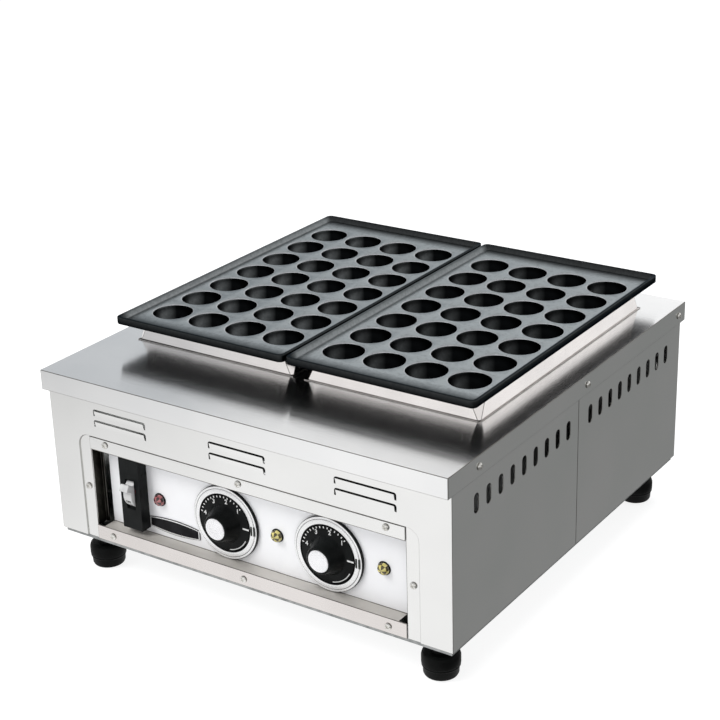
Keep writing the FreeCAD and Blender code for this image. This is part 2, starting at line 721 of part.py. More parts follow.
def side_slots(name, start):
    return [
        slot(
            f"{name}_{count}", ("-half_width - past", f"{start} + {count} * slot_pitch", "slot_z"),
            "X", "2 * (half_width + past)", "slot_width", "slot_height",
        )
        for count in range(SIDE_SLOTS)
    ]


front_skin = fuse("front_skin", front_sheet, *front_sides, front_flange)
front_open = cut("front_open", front_skin, seat_hole, *louvre_holes)
front_whole = fuse("front_whole", front_open, seat_sheet, *louvre_flaps)
node("front_shell", cut(
    "front_shell", front_whole, window, *front_holes, *side_slots("front_slot", "front + slot_inset"),
    side_to_side("front_cover_hole", "cover_screw_front", "cover_screw_z", "hole"),
))

back_sheet = box(
    "back_sheet", ("-half_width", "back - sheet", "body_bottom"), ("half_width", "back", "shell_top")
)
back_sides = [
    box(
        f"back_side_{side}",
        ("-half_width" if sign < 0 else "inside", "seam_y + strip_gap", "body_bottom"),
        ("-inside" if sign < 0 else "half_width", "back", "shell_top"),
    )
    for side, sign in SIDES
]
back_laps = [
    box(
        f"back_lap_{side}",
        ("-inside" if sign < 0 else "inside - sheet", "seam_y - lap_width", "body_bottom"),
        ("-inside + sheet" if sign < 0 else "inside", "seam_y + past", "shell_top"),
    )
    for side, sign in SIDES
]
back_flange = box(
    "back_flange",
    ("-inside", "back - sheet - shell_flange", "shell_top - sheet"),
    ("inside", "back", "shell_top"),
)
BACK_SCREWS = [(f"{sign} * back_screw_x", "back_screw_z") for side, sign in SIDES]
back_holes = [
    rod(f"back_hole_{count}", (x, "back - 4 * past", z), "Y", "5 * past", radius)
    for count, (x, z, radius) in enumerate(
        [(x, z, "hole") for x, z in BACK_SCREWS]
        + [
            ("gland_x", "gland_z", "gland_thread_radius + hole_gap"),
            ("earth_x", "earth_z", "screw_radius + hole_gap"),
        ]
    )
]
back_slots = [
    slot(
        f"back_slot_{side}_{count}",
        (f"{sign} * (back_slot_x + {count} * slot_pitch)", "back - sheet - past", "slot_z"),
        "Y", "sheet + 2 * past", "slot_width", "slot_height",
    )
    for side, sign in SIDES
    for count in range(BACK_SLOTS)
]
node("rear_shell", cut(
    "rear_shell", fuse("back_skin", back_sheet, *back_sides, *back_laps, back_flange),
    *back_holes, *back_slots, *side_slots("rear_slot", "seam_y + slot_restart"),
    *[
        side_to_side(f"rear_{where}_hole", where, "cover_screw_z", "hole")
        for where in COVER_SCREWS[1:]
    ],
))

# ---------------------------------------------------------------- tray, cover and feet

FEET = [
    (f"foot_{end}_{side}", f"{sign} * foot_x", f"{way} * foot_y")
    for end, way in (("front", -1), ("rear", 1))
    for side, sign in SIDES
]
tray_block = box(
    "tray_block",
    ("-tray_half_width", "-tray_half_depth", "tray_under"),
    ("tray_half_width", "tray_half_depth", "tray_top"),
)
tray_room = box(
    "tray_room",
    ("-tray_half_width + sheet", "-tray_half_depth + sheet", "tray_floor"),
    ("tray_half_width - sheet", "tray_half_depth - sheet", "tray_top + past"),
)
tray_foot_holes = [
    rod(name + "_hole", (x, y, "tray_under - past"), "Z", "sheet + 2 * past", "bolt_radius + hole_gap")
    for name, x, y in FEET
]
tray_vents = [
    box(
        f"tray_vent_{side}_{count}",
        (f"{sign} * collar_x - vent_length / 2", f"{row} * vent_pitch - slot_width / 2", "tray_under - past"),
        (f"{sign} * collar_x + vent_length / 2", f"{row} * vent_pitch + slot_width / 2", "tray_floor + past"),
    )
    for side, sign in SIDES
    for count, row in enumerate(range(-(VENTS // 2), VENTS // 2 + 1))
]
tray_front_holes = [
    rod(f"tray_front_hole_{column + 2}", (f"{column} * panel_screw_x", "front - past", "low_screw_z"),
        "Y", "3 * past", "hole")
    for column in (-1, 0, 1)
]
tray_back_holes = [
    rod(f"tray_back_hole_{count}", (x, "back - 2 * past", z), "Y", "3 * past", "hole")
    for count, (x, z) in enumerate(BACK_SCREWS)
]
node("base_tray", cut(
    "base_tray", tray_block, tray_room, *tray_foot_holes, *tray_vents, *tray_front_holes, *tray_back_holes,
))

cover_block = box(
    "cover_block",
    ("-cover_half_width", "-cover_half_depth", "cover_top - cover_skirt"),
    ("cover_half_width", "cover_half_depth", "cover_top"),
)
cover_room = box(
    "cover_room",
    ("-cover_half_width + sheet", "-cover_half_depth + sheet", "cover_top - cover_skirt - past"),
    ("cover_half_width - sheet", "cover_half_depth - sheet", "cover_under"),
)
cover_openings = [
    box(
        f"cover_opening_{side}",
        (f"{sign} * collar_x - collar_half_x - opening_gap", "box_front - opening_gap", "cover_under - past"),
        (f"{sign} * collar_x + collar_half_x + opening_gap", "box_back + opening_gap", "cover_top + past"),
    )
    for side, sign in SIDES
]
node("top_cover", cut(
    "top_cover", cover_block, cover_room, *cover_openings,
    *[side_to_side(f"cover_{where}_hole", where, "cover_screw_z", "hole") for where in COVER_SCREWS],
))
node("cover_screws", group("cover_screws", [
    screw(
        f"{where}_{side}", (f"{sign} * cover_half_width", where, "cover_screw_z"), "-X" if sign < 0 else "X",
    )
    for where in COVER_SCREWS
    for side, sign in SIDES
]))
node("back_screws", group("back_screws", [
    screw(f"back_screw_{count}", (x, "back", z), "Y") for count, (x, z) in enumerate(BACK_SCREWS)
]))

for name, x, y in FEET:
    node(name, turned(name, (x, y, "0"), "Z", [
        ("0", "0"), ("foot_base", "0"), ("foot_belly", "foot_low"), ("foot_belly", "foot_high"),
        ("foot_shoulder", "foot_barrel"), ("foot_neck", "foot_barrel"), ("foot_neck", "tray_under"),
        ("bolt_radius", "tray_under"), ("bolt_radius", "bolt_foot"), ("0", "bolt_foot"),
    ]))
node("foot_bolts", group("foot_bolts", [
    rod(name + "_bolt", (x, y, "bolt_foot"), "Z", "tray_under + bolt_above - bolt_foot", "bolt_radius")
    for name, x, y in FEET
]))
node("foot_nuts", group("foot_nuts", [
    cut(
        name + "_nut",
        fuse(
            name + "_nut_blank",
            rod(name + "_washer", (x, y, "tray_floor"), "Z", "washer_height", "washer_radius"),
            hexagon(name + "_hexagon", (x, y, "tray_floor"), "Z", "foot_nut_height", "foot_nut"),
        ),
        rod(name + "_thread", (x, y, "tray_floor - past"), "Z", "foot_nut_height + 2 * past", "bolt_radius"),
    )
    for name, x, y in FEET
]))

# ---------------------------------------------------------------- control panel

panel_top = "window_top - strip_gap"
panel_low = "window_bottom + strip_gap"
panel_parts = [
    box(
        "panel_wall", ("-panel_half_width", "panel_face", panel_low),
        ("panel_half_width", "panel_back", panel_top),
    ),
    box("panel_roof", ("-panel_half_width", "front", f"{panel_top} - sheet"),
        ("panel_half_width", "panel_back", panel_top)),
    box("panel_floor", ("-panel_half_width", "front", panel_low),
        ("panel_half_width", "panel_back", f"{panel_low} + sheet")),
    arch("panel_top_strip", "-window_half_width", "window_half_width", "front", "seat_face",
         f"{panel_top} - sheet", "seat_top - strip_gap", "strip_gap"),
    box("panel_low_strip", ("-window_half_width", "front", "body_bottom"),
        ("window_half_width", "seat_face", f"{panel_low} + sheet")),
]
DIALS = [("left", "dial_left_x"), ("right", "dial_right_x")]
LAMPS = [
    ("red", "red_lamp_x"),
    ("amber_left", "dial_left_x + dial_spacing / 2"),
    ("amber_right", "dial_right_x + dial_spacing / 2"),
]


def panel_hole(name, x, z, radius):
    return rod(name, (x, "panel_face - sheet", z), "Y", "3 * sheet", radius)


switch_hole = box(
    "switch_hole",
    (
        "switch_x - switch_back_width / 2 - hole_gap", "panel_face - past",
        "switch_z - switch_back_height / 2 - hole_gap",
    ),
    (
        "switch_x + switch_back_width / 2 + hole_gap", "panel_back + past",
        "switch_z + switch_back_height / 2 + hole_gap",
    ),
)
node("control_panel", cut(
    "control_panel", fuse("panel_folded", *panel_parts), switch_hole,
    *[panel_hole(f"bush_hole_{side}", x, "dial_z", "thread_radius + hole_gap") for side, x in DIALS],
    *[panel_hole(f"lamp_hole_{lamp}", x, "lamp_z", "lamp_barrel + hole_gap") for lamp, x in LAMPS],
    *[
        rod(f"panel_screw_hole_{count}", (x, "front - past", z), "Y", "2 * past", "hole")
        for count, (x, z) in enumerate(PANEL_SCREWS)
    ],
))
node("panel_screws", group("panel_screws", [
    screw(f"panel_screw_{count}", (x, face, z), "-Y")
    for count, (x, z, face) in enumerate(
        [(x, z, "front") for x, z in PANEL_SCREWS] + [(x, z, "seat_face") for x, z in STRIP_SCREWS]
    )
]))
for side, sign in SIDES:
    wall_in, wall_out = f"{sign} * window_half_width", f"{sign} * (window_half_width + sheet)"
    low_x, high_x = (wall_out, wall_in) if sign < 0 else (wall_in, wall_out)
    flange_far = f"{sign} * (seat_half_width - sheet)"
    lip_near = f"{sign} * (window_half_width - bracket_lip)"
    bracket = [
        box(f"bracket_wall_{side}", (low_x, "backing_back", "window_bottom"),
            (high_x, "front + bracket_depth + sheet", "window_top")),
        box(f"bracket_flange_{side}",
            (flange_far if sign < 0 else wall_in, "backing_back", "window_bottom"),
            (wall_in if sign < 0 else flange_far, "backing_back + sheet", "window_top")),
        box(f"bracket_lip_{side}",
            (low_x if sign < 0 else lip_near, "front + bracket_depth", "window_bottom"),
            (lip_near if sign < 0 else high_x, "front + bracket_depth + sheet", "window_top")),
    ]
    node(f"panel_bracket_{side}", cut(
        f"panel_bracket_{side}", fuse(f"bracket_folded_{side}", *bracket),
        rod(f"bracket_hole_{side}", (f"{sign} * side_screw_x", "front - past", "side_screw_z"),
            "Y", "3 * past", "hole"),
    ))
node("name_plate", box(
    "name_plate",
    ("switch_x + switch_width / 2 + plate_gap", "panel_face - plate_proud", "plate_z - plate_height / 2"),
    ("dial_left_x - plate_clearance", "panel_face", "plate_z + plate_height / 2"),
))

# ---------------------------------------------------------------- dials and thermostats

for side, x in DIALS:
    spot = (x, "panel_face", "dial_z")
    node(f"dial_bezel_{side}", turned(f"dial_bezel_{side}", spot, "-Y", [
        ("thread_radius + hole_gap", "0"), ("bezel_radius", "0"), ("bezel_face", "bezel_height"),
        ("bezel_well", "bezel_height"), ("bezel_well", "bezel_floor"),
        ("thread_radius + hole_gap", "bezel_floor"),
    ]))
    node(f"dial_{side}", turned(f"dial_{side}", spot, "-Y", [
        ("spindle_radius", "nut_room_top"), ("nut_room", "nut_room_top"), ("nut_room", "disc_back"),
        ("disc_radius", "disc_back"), ("disc_radius", "disc_front"), ("knob_foot", "disc_front"),
        ("knob_end", "knob_height"), ("cap_radius", "knob_height"), ("cap_radius", "knob_height - cap_sunk"),
        ("0", "knob_height - cap_sunk"), ("0", "spindle_end"), ("spindle_radius", "spindle_end"),
    ]))
    node(f"dial_cap_{side}", rod(
        f"dial_cap_{side}", shifted(spot, "-Y", "knob_height - cap_sunk"),
        "-Y", "cap_sunk + cap_proud", "cap_radius"
    ))
    node(f"thermostat_spindle_{side}", rod(
        f"thermostat_spindle_{side}", shifted(spot, "Y", "sheet + spindle_inside"), "-Y",
        "sheet + spindle_inside + spindle_end", "spindle_radius",
    ))
    thermostat_low = (f"{x} - thermostat_side / 2", "panel_back", "dial_z - thermostat_side / 2")
    thermostat_high = (
        f"{x} + thermostat_side / 2", "panel_back + thermostat_depth", "dial_z + thermostat_side / 2",
    )
    node(f"thermostat_{side}", cut(
        f"thermostat_{side}",
        fuse(
            f"thermostat_whole_{side}",
            box(f"thermostat_case_{side}", thermostat_low, thermostat_high),
            rod(f"thermostat_bush_{side}", shifted(spot, "Y", "sheet + past"), "-Y",
                "sheet + past + thread_end", "thread_radius"),
        ),
        rod(f"thermostat_bore_{side}", shifted(spot, "Y", "sheet + spindle_inside + 4 * spindle_gap"), "-Y",
            "sheet + spindle_inside + 4 * spindle_gap + thread_end + past", "spindle_radius + spindle_gap"),
    ))
node("bush_nuts", group("bush_nuts", [
    cut(
        f"bush_nut_{side}",
        hexagon(
            f"bush_hexagon_{side}", (x, "panel_face - bezel_floor", "dial_z"),
            "-Y", "nut_height", "nut_radius",
        ),
        rod(f"bush_nut_thread_{side}", (x, "panel_face", "dial_z"), "-Y", "3 * nut_height", "thread_radius"),
    )
    for side, x in DIALS
]))

# ---------------------------------------------------------------- switch and pilot lamps

switch_front = box(
    "switch_front",
    ("switch_x - switch_width / 2", "switch_face", "switch_z - switch_height / 2"),
    ("switch_x + switch_width / 2", "panel_face", "switch_z + switch_height / 2"),
)
switch_back = box(
    "switch_back",
    ("switch_x - switch_back_width / 2", "panel_face", "switch_z - switch_back_height / 2"),
    (
        "switch_x + switch_back_width / 2", "panel_back + switch_back_depth",
        "switch_z + switch_back_height / 2",
    ),
)
switch_well = box(
    "switch_well",
    ("switch_x - lever_width / 2 - lever_gap", "switch_face - past", "switch_z - lever_well_height / 2"),
    (
        "switch_x + lever_width / 2 + lever_gap",
        "switch_face + lever_well", "switch_z + lever_well_height / 2",
    ),
)
lever_left = "switch_x - lever_width / 2"
switch_pocket = rod(
    "switch_pocket", (f"{lever_left} - lever_gap", "lever_y", "switch_z"), "X",
    "lever_width + 2 * lever_gap", "lever_hub + lever_gap",
)
switch_pivot = rod(
    "switch_pivot", (f"{lever_left} - pivot_length - lever_gap", "lever_y", "switch_z"), "X",
    "lever_width + 2 * pivot_length + 2 * lever_gap", "pivot_radius + spindle_gap",
)
node("switch_body", cut(
    "switch_body", fuse("switch_case", switch_front, switch_back), switch_well, switch_pocket, switch_pivot,
))
lever_tip = box(
    "lever_tip",
    (lever_left, "0", "0"), ("switch_x + lever_width / 2", "lever_thickness", "lever_reach - lever_root"),
)
lever_tip.Placement.Rotation = FreeCAD.Rotation(FreeCAD.Vector(1, 0, 0), 90 - measure("lever_angle"))
lever_tip.setExpression("Placement.Rotation.Angle", named("90 - lever_angle"))
lever_tip.setExpression("Placement.Base.y", named(
    "lever_y - lever_root * cos(lever_angle * 1deg) - lever_thickness / 2 * sin(lever_angle * 1deg)"
))
lever_tip.setExpression("Placement.Base.z", named(
    "switch_z + lever_root * sin(lever_angle * 1deg) - lever_thickness / 2 * cos(lever_angle * 1deg)"
))
node("switch_lever", fuse(
    "switch_lever",
    rod("lever_drum", (lever_left, "lever_y", "switch_z"), "X", "lever_width", "lever_hub"),
    rod("lever_pivot", (f"{lever_left} - pivot_length", "lever_y", "switch_z"), "X",
        "lever_width + 2 * pivot_length", "pivot_radius"),
    lever_tip,
))

node("lamp_holders", group("lamp_holders", [
    turned(f"lamp_holder_{lamp}", (x, "panel_face", "lamp_z"), "-Y", [
        ("0", "-lamp_length"), ("lamp_barrel", "-lamp_length"), ("lamp_barrel", "0"), ("lamp_radius", "0"),
        ("lamp_radius - lamp_rim / 2", "lamp_rim"),
        ("lens_radius", "lamp_rim"), ("lens_radius", "lamp_rim / 4"),
        ("0", "lamp_rim / 4"),
    ])
    for lamp, x in LAMPS
]))


def lens(lamp, x):
    return turned(f"lens_{lamp}", (x, "panel_face", "lamp_z"), "-Y", [
        ("0", "lamp_rim / 4"), ("lens_radius", "lamp_rim / 4"), ("lens_radius", "lamp_rim + lens_height / 2"),
        ("lens_crown", "lamp_rim + lens_height"), ("0", "lamp_rim + lens_height"),
    ])


node("red_lens", lens(*LAMPS[0]))
node("amber_lenses", group("amber_lenses", [lens(*lamp) for lamp in LAMPS[1:]]))
node("lamp_clips", group("lamp_clips", [
    cut(
        f"lamp_clip_{lamp}",
        rod(f"lamp_clip_disc_{lamp}", (x, "panel_back", "lamp_z"), "Y", "clip_height", "clip_radius"),
        rod(f"lamp_clip_bore_{lamp}", (x, "panel_face", "lamp_z"), "Y", "3 * clip_height", "lamp_barrel"),
    )
    for lamp, x in LAMPS
]))

# ---------------------------------------------------------------- heater boxes, insulation and shroud

for side, sign in SIDES:
    middle = f"{sign} * collar_x"
    inner_x, inner_y = "collar_half_x - sheet", "collar_half_y - sheet"
    fold_in = "sheet * (2 - sqrt(2))"
    low_box = (f"{middle} - collar_half_x", "box_front", "box_under")
    high_box = (f"{middle} + collar_half_x", "box_back", "cover_top")
    outside = fuse(
        f"box_outside_{side}",
        box(f"box_walls_{side}", low_box, high_box),
        round_slab(
            f"box_bead_{side}",
            (f"{middle} - collar_half_x - bead", "box_front - bead", "cover_top"),
            (f"{middle} + collar_half_x + bead", "box_back + bead", "cover_top + bead"),
            "bead",
        ),
        lofted(
            f"collar_outside_{side}", "cover_top", "plate_under",
            cut_corners(middle, "pans_back", "collar_half_x", "collar_half_y", "sheet"),
            cut_corners(middle, "pans_back", "collar_half_x - collar_lean", "collar_half_y - collar_lean",
                        "collar_corner"),
        ),
    )
    inside = [
        box(
            f"box_room_{side}",
            (f"{middle} - collar_half_x + sheet", "box_front + sheet", "box_floor"),
            (f"{middle} + collar_half_x - sheet", "box_back - sheet", "cover_top"),
        ),
        lofted(
            f"collar_inside_{side}", "cover_top", "plate_under",
            cut_corners(middle, "pans_back", inner_x, inner_y, f"sheet - {fold_in}"),
            cut_corners(middle, "pans_back", f"{inner_x} - collar_lean", f"{inner_y} - collar_lean",
                        f"collar_corner - {fold_in}"),
        ),
    ]
    notches = []
    for along in (-1, 1):
        x = f"{middle} + {along} * (collar_half_x - notch_inset)"
        y = f"pans_back + {along} * (collar_half_y - notch_inset)"
        notches += [
            box(
                f"notch_ends_{side}_{along + 2}",
                (f"{x} - notch_width / 2", "box_front - past", "plate_under - notch_depth"),
                (f"{x} + notch_width / 2", "box_back + past", "plate_under + past"),
            ),
            box(
                f"notch_sides_{side}_{along + 2}",
                (f"{middle} - collar_half_x - past", f"{y} - notch_width / 2", "plate_under - notch_depth"),
                (f"{middle} + collar_half_x + past", f"{y} + notch_width / 2", "plate_under + past"),
            ),
        ]
    ports = [
        rod(f"port_{side}_{end + 2}", (f"{sign} * pan_x + {end} * lane_end", "box_front - past", "tube_z"),
            "Y", "3 * past", "tube_radius + hole_gap")
        for end in (-1, 1)
    ]
    bulb_port = rod(f"bulb_port_{side}", (f"{sign} * pan_x", "box_front - past", "bulb_z"), "Y",
                    "3 * past", "capillary_radius + hole_gap")
    node(f"heater_box_{side}", cut(
        f"heater_box_{side}", outside, fuse(f"box_inside_{side}", *inside), *notches, *ports, bulb_port,
    ))

    # the tube goes back and forth four times under the cups
    pan_middle = f"{sign} * pan_x"
    tube_front = "shroud_front - cold_end"
    turn_back = "pans_back + tube_run + cup_pitch / 2"
    turn_front = "pans_back - tube_run - cup_pitch / 2"
    lanes = [f"{pan_middle} - lane_end + {column} * cup_pitch" for column in range(COLUMNS)]
    heater = tube(
        f"heater_tube_{side}",
        [
            (lanes[0], tube_front, "tube_z"), (lanes[0], turn_back, "tube_z"),
            (lanes[1], turn_back, "tube_z"), (lanes[1], turn_front, "tube_z"),
            (lanes[2], turn_front, "tube_z"), (lanes[2], turn_back, "tube_z"),
            (lanes[3], turn_back, "tube_z"), (lanes[3], tube_front, "tube_z"),
        ],
        "tube_radius", "tube_bend_radius",
    )
    pins = [
        rod(f"pin_{side}_{count}", (lane, tube_front, "tube_z"), "-Y", "pin_length", "pin_radius")
        for count, lane in enumerate((lanes[0], lanes[3]))
    ]
    node(f"heater_element_{side}", fuse(f"heater_element_{side}", heater, *pins))

    bars = []
    bar_top = "tube_z - tube_radius"
    for row in (-1, 0, 1):
        bar_y = f"pans_back + {row} * bar_spacing"
        bars.append(fuse(
            f"element_bar_{side}_{row + 2}",
            box(f"bar_flat_{side}_{row + 2}",
                (f"{pan_middle} - bar_reach", f"{bar_y} - bar_width / 2", f"{bar_top} - bar_height"),
                (f"{pan_middle} + bar_reach", f"{bar_y} + bar_width / 2", bar_top)),
            *[
                box(f"bar_leg_{side}_{row + 2}_{end + 2}",
                    (f"{pan_middle} + {end} * (bar_reach - bar_height / 2) - bar_height / 2",
                     f"{bar_y} - bar_width / 2", "reflector_top"),
                    (f"{pan_middle} + {end} * (bar_reach - bar_height / 2) + bar_height / 2",
                     f"{bar_y} + bar_width / 2", bar_top))
                for end in (-1, 1)
            ],
        ))
    node(f"element_supports_{side}", group(f"element_supports_{side}", bars))

    reflector_x, reflector_y = f"{inner_x} - reflector_inset", f"{inner_y} - reflector_inset"
    node(f"reflector_{side}", cut(
        f"reflector_{side}",
        box(f"reflector_block_{side}",
            (f"{middle} - ({reflector_x})", f"pans_back - ({reflector_y})", "box_floor"),
            (f"{middle} + ({reflector_x})", f"pans_back + ({reflector_y})", "box_floor + reflector_lip")),
        box(f"reflector_room_{side}",
            (f"{middle} - ({reflector_x}) + reflector_sheet",
             f"pans_back - ({reflector_y}) + reflector_sheet", "reflector_top"),
            (f"{middle} + ({reflector_x}) - reflector_sheet",
             f"pans_back + ({reflector_y}) - reflector_sheet", "box_floor + reflector_lip + past")),
    ))

    bulb_front = "box_front + sheet + past"
    dial_x = f"dial_{side}_x"
    cap_y = "panel_back + thermostat_depth / 2"
    node(f"temperature_sensor_{side}", fuse(
        f"temperature_sensor_{side}",
        rod(f"bulb_{side}", (pan_middle, bulb_front, "bulb_z"), "Y", "bulb_length", "bulb_radius"),
        tube(
            f"capillary_{side}",
            [
                (pan_middle, bulb_front, "bulb_z"), (pan_middle, cap_y, "bulb_z"),
                (pan_middle, cap_y, "capillary_z"),
                (dial_x, cap_y, "capillary_z"), (dial_x, cap_y, "dial_z + thermostat_side / 2"),
            ],
            "capillary_radius", "lead_bend_radius",
        ),
    ))
    lead_y = "panel_back + thermostat_depth - lead_bend_radius - lead_radius"
    leads = []
    levels = [(-1, lanes[0], "tube_z - lead_low_fall"), (1, lanes[3], "tube_z - lead_high_fall")]
    for count, (end, lane, level) in enumerate(levels):
        leads.append(tube(
            f"heater_lead_{side}_{count}",
            [
                (f"{dial_x} + {end} * lead_spread", lead_y, "dial_z + thermostat_side / 2"),
                (f"{dial_x} + {end} * lead_spread", lead_y, level),
                (lane, lead_y, level),
                (lane, lead_y, "tube_z"),
                (lane, f"{tube_front} - pin_length", "tube_z"),
            ],
            "lead_radius", "lead_bend_radius",
        ))
    node(f"heater_leads_{side}", group(f"heater_leads_{side}", leads))

PORTS = [
    (f"{side}_{end + 2}", f"{sign} * pan_x + {end} * lane_end", "tube_z", "tube_radius")
    for side, sign in SIDES
    for end in (-1, 1)
] + [(f"{side}_bulb", f"{sign} * pan_x", "bulb_z", "capillary_radius") for side, sign in SIDES]
wool_block = box(
    "wool_block", ("-wool_half_x", "wool_front", "wool_low"), ("wool_half_x", "wool_back", "cover_under")
)
wool_rooms = [
    box(
        f"wool_room_{side}",
        (f"{sign} * collar_x - collar_half_x", "box_front", "box_under"),
        (f"{sign} * collar_x + collar_half_x", "box_back", "cover_top + past"),
    )
    for side, sign in SIDES
]
node("insulation", cut(
    "insulation", wool_block, *wool_rooms,
    *[
        rod(
            f"wool_port_{tag}", (x, "wool_front - past", z), "Y",
            "wool_side + 2 * past", f"{radius} + hole_gap",
        )
        for tag, x, z, radius in PORTS
    ],
))
shroud_block = fuse(
    "shroud_block",
    box("shroud_body", ("-shroud_half_x", "shroud_front", "shroud_low"),
        ("shroud_half_x", "shroud_back", "cover_under")),
    box("shroud_brim",
        ("-shroud_half_x - shroud_flange", "shroud_front - shroud_flange", "cover_under - shroud_sheet"),
        ("shroud_half_x + shroud_flange", "shroud_back + shroud_flange", "cover_under")),
)
node("heater_shroud", cut(
    "heater_shroud", shroud_block,
    box(
        "shroud_room", ("-wool_half_x", "wool_front", "wool_low"),
        ("wool_half_x", "wool_back", "cover_top + past"),
    ),
    *[
        rod(
            f"shroud_port_{tag}", (x, "shroud_front - past", z),
            "Y", "shroud_sheet + 2 * past", f"{radius} + hole_gap",
        )
        for tag, x, z, radius in PORTS
    ],
))
node("element_bushes", group("element_bushes", [
    cut(
        f"element_bush_{tag}",
        rod(f"bush_blank_{tag}", (x, "shroud_front", z), "-Y", "bush_length", "bush_radius"),
        rod(f"bush_bore_{tag}", (x, "shroud_front + past", z), "-Y", "bush_length + 2 * past", "tube_radius"),
    )
    for tag, x, z, radius in PORTS[:4]
]))

# ---------------------------------------------------------------- back of the casing and wiring

gland = ("gland_x", "back", "gland_z")
node("cable_gland", turned("cable_gland", gland, "Y", [
    ("gland_bore", "-sheet - gland_inside"),
    ("gland_thread_radius", "-sheet - gland_inside"), ("gland_thread_radius", "0"),
    ("gland_flange", "0"), ("gland_flange", "gland_flange_depth"), ("gland_nose", "gland_flange_depth"),
    ("gland_nose - sheet", "gland_reach"), ("gland_bore", "gland_reach"),
]))
node("gland_nut", cut(
    "gland_nut",
    hexagon("gland_hexagon", shifted(gland, "-Y", "sheet"), "-Y", "gland_nut_depth", "gland_nut"),
    rod("gland_nut_thread", gland, "-Y", "sheet + gland_nut_depth + past", "gland_thread_radius"),
))
earth = ("earth_x", "back", "earth_z")
node("earth_terminal", fuse(
    "earth_terminal",
    rod(
        "earth_stud", shifted(earth, "-Y", "sheet + 2 * past"),
        "Y", "sheet + 2 * past + gland_reach", "screw_radius",
    ),
    rod("earth_washer", earth, "Y", "sheet", "screw_head + sheet"),
    hexagon("earth_nut", shifted(earth, "Y", "sheet"), "Y", "head_height", "screw_head"),
    hexagon("earth_lock_nut", shifted(earth, "-Y", "sheet"), "-Y", "head_height", "screw_head"),
))
block_low = ("block_x", "block_y", "tray_floor")
block_high = ("block_x + block_width", "block_y + block_depth", "tray_floor + block_height")
POLES = [f"block_x + {2 * count + 1} / {2 * POLE_COUNT} * block_width" for count in range(POLE_COUNT)]
pole_screws = [
    (f"{count}_{row + 2}", x, f"block_y + block_depth / 2 + {row} * block_depth / 4")
    for count, x in enumerate(POLES)
    for row in (-1, 1)
]
node("terminal_block", cut(
    "terminal_block", box("block_case", block_low, block_high),
    *[
        rod(f"block_well_{tag}", (x, y, "tray_floor + block_height - block_screw_height"), "Z",
            "block_screw_height + past", "block_screw + hole_gap")
        for tag, x, y in pole_screws
    ],
))
node("terminal_screws", group("terminal_screws", [
    rod(f"block_screw_{tag}", (x, y, "tray_floor + block_height - block_screw_height"), "Z",
        "block_screw_height - hole_gap", "block_screw")
    for tag, x, y in pole_screws
]))
supply = []
for count, pole in enumerate(POLES):
    lead_x = f"gland_x + {count - 1} * lead_pitch"
    fall_y = f"block_y + block_depth + gland_space - {count} * lead_stagger"
    supply.append(tube(
        f"supply_lead_{count}",
        [
            (lead_x, "back - sheet - gland_inside", "gland_z"),
            (lead_x, fall_y, "gland_z"), (lead_x, fall_y, "lead_z"),
            (pole, fall_y, "lead_z"), (pole, "block_y + block_depth", "lead_z"),
        ],
        "lead_radius", "lead_fold_radius",
    ))
node("supply_leads", group("supply_leads", supply))
run = "panel_back + switch_back_depth + switch_lead_run"
node("switch_leads", group("switch_leads", [
    tube(
        f"switch_lead_{count}",
        [
            (POLES[count], "block_y", "lead_z"),
            (POLES[count], f"{run} - lead_bend_radius * {count}", "lead_z"),
            (x, f"{run} - lead_bend_radius * {count}", "lead_z"),
            (x, f"{run} - lead_bend_radius * {count}", z),
            (x, "panel_back + switch_back_depth", z),
        ],
        "lead_radius", "lead_bend_radius",
    )
    for count, (x, z) in enumerate([
        ("switch_x + lead_bend_radius", "switch_z - lead_bend_radius"),
        ("switch_x - lead_bend_radius", "switch_z + lead_bend_radius"),
    ])
]))

# ---------------------------------------------------------------- pans

for side, sign in SIDES:
    middle = f"{sign} * pan_x"
    low_x, high_x = f"{middle} - pan_half_x", f"{middle} + pan_half_x"
    low_y, high_y = "pans_back - pan_half_y", "pans_back + pan_half_y"
    cups = [
        (
            f"{side}_{column}_{row}", f"{middle} - lane_end + {column} * cup_pitch",
            f"pans_back - row_end + {row} * cup_pitch",
        )
        for column in range(COLUMNS)
        for row in range(ROWS)
    ]
    bowls = []
    for tag, x, y in cups:
        bowl = ball(f"bowl_{tag}", (x, y, "plate_top"), "cup_radius + cup_wall")
        bowl.Angle2 = 0
        bowls.append(bowl)
    tray_space = frustum(
        f"tray_space_{side}", "plate_top", "rim_top",
        (f"{low_x} + rim_width + rim_slope", f"{high_x} - rim_width - rim_slope",
         f"{low_y} + rim_width + rim_slope", f"{high_y} - rim_width - rim_slope"),
        (f"{low_x} + rim_width", f"{high_x} - rim_width", f"{low_y} + rim_width", f"{high_y} - rim_width"),
    )
    pan_slab = round_slab(
        f"pan_slab_{side}", (low_x, low_y, "plate_under"), (high_x, high_y, "rim_top"), "pan_corner"
    )
    node(f"pan_{side}", cut(
        f"pan_{side}", fuse(f"pan_casting_{side}", cut(f"pan_plate_{side}", pan_slab, tray_space), *bowls),
        *[ball(f"hollow_{tag}", (x, y, "plate_top"), "cup_radius") for tag, x, y in cups],
    ))

# ---------------------------------------------------------------- checks and files

doc.recompute()
for thing in doc.Objects:
    if "Invalid" in thing.State or "Error" in thing.State:
        raise RuntimeError(f"{thing.Label} did not build: {thing.State}")
for piece in nodes:
    if piece.Shape.isNull() or not piece.Shape.isValid() or not piece.Shape.Solids:
        raise RuntimeError(f"{piece.Label} is not a sound solid")

os.makedirs("parts", exist_ok=True)
for piece in nodes:
    piece.Shape.exportStep(f"parts/{piece.Label}.step")
print(len(nodes), "pieces written")
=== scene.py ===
"""The looks of a two-pan electric takoyaki maker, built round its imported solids.

X is to the right, Y to the back and Z up from the worktop. Sizes are written in millimetres and go
through mm(), because the scene is in metres. Places are read off the solids where a solid shows them.
"""

import json
import math

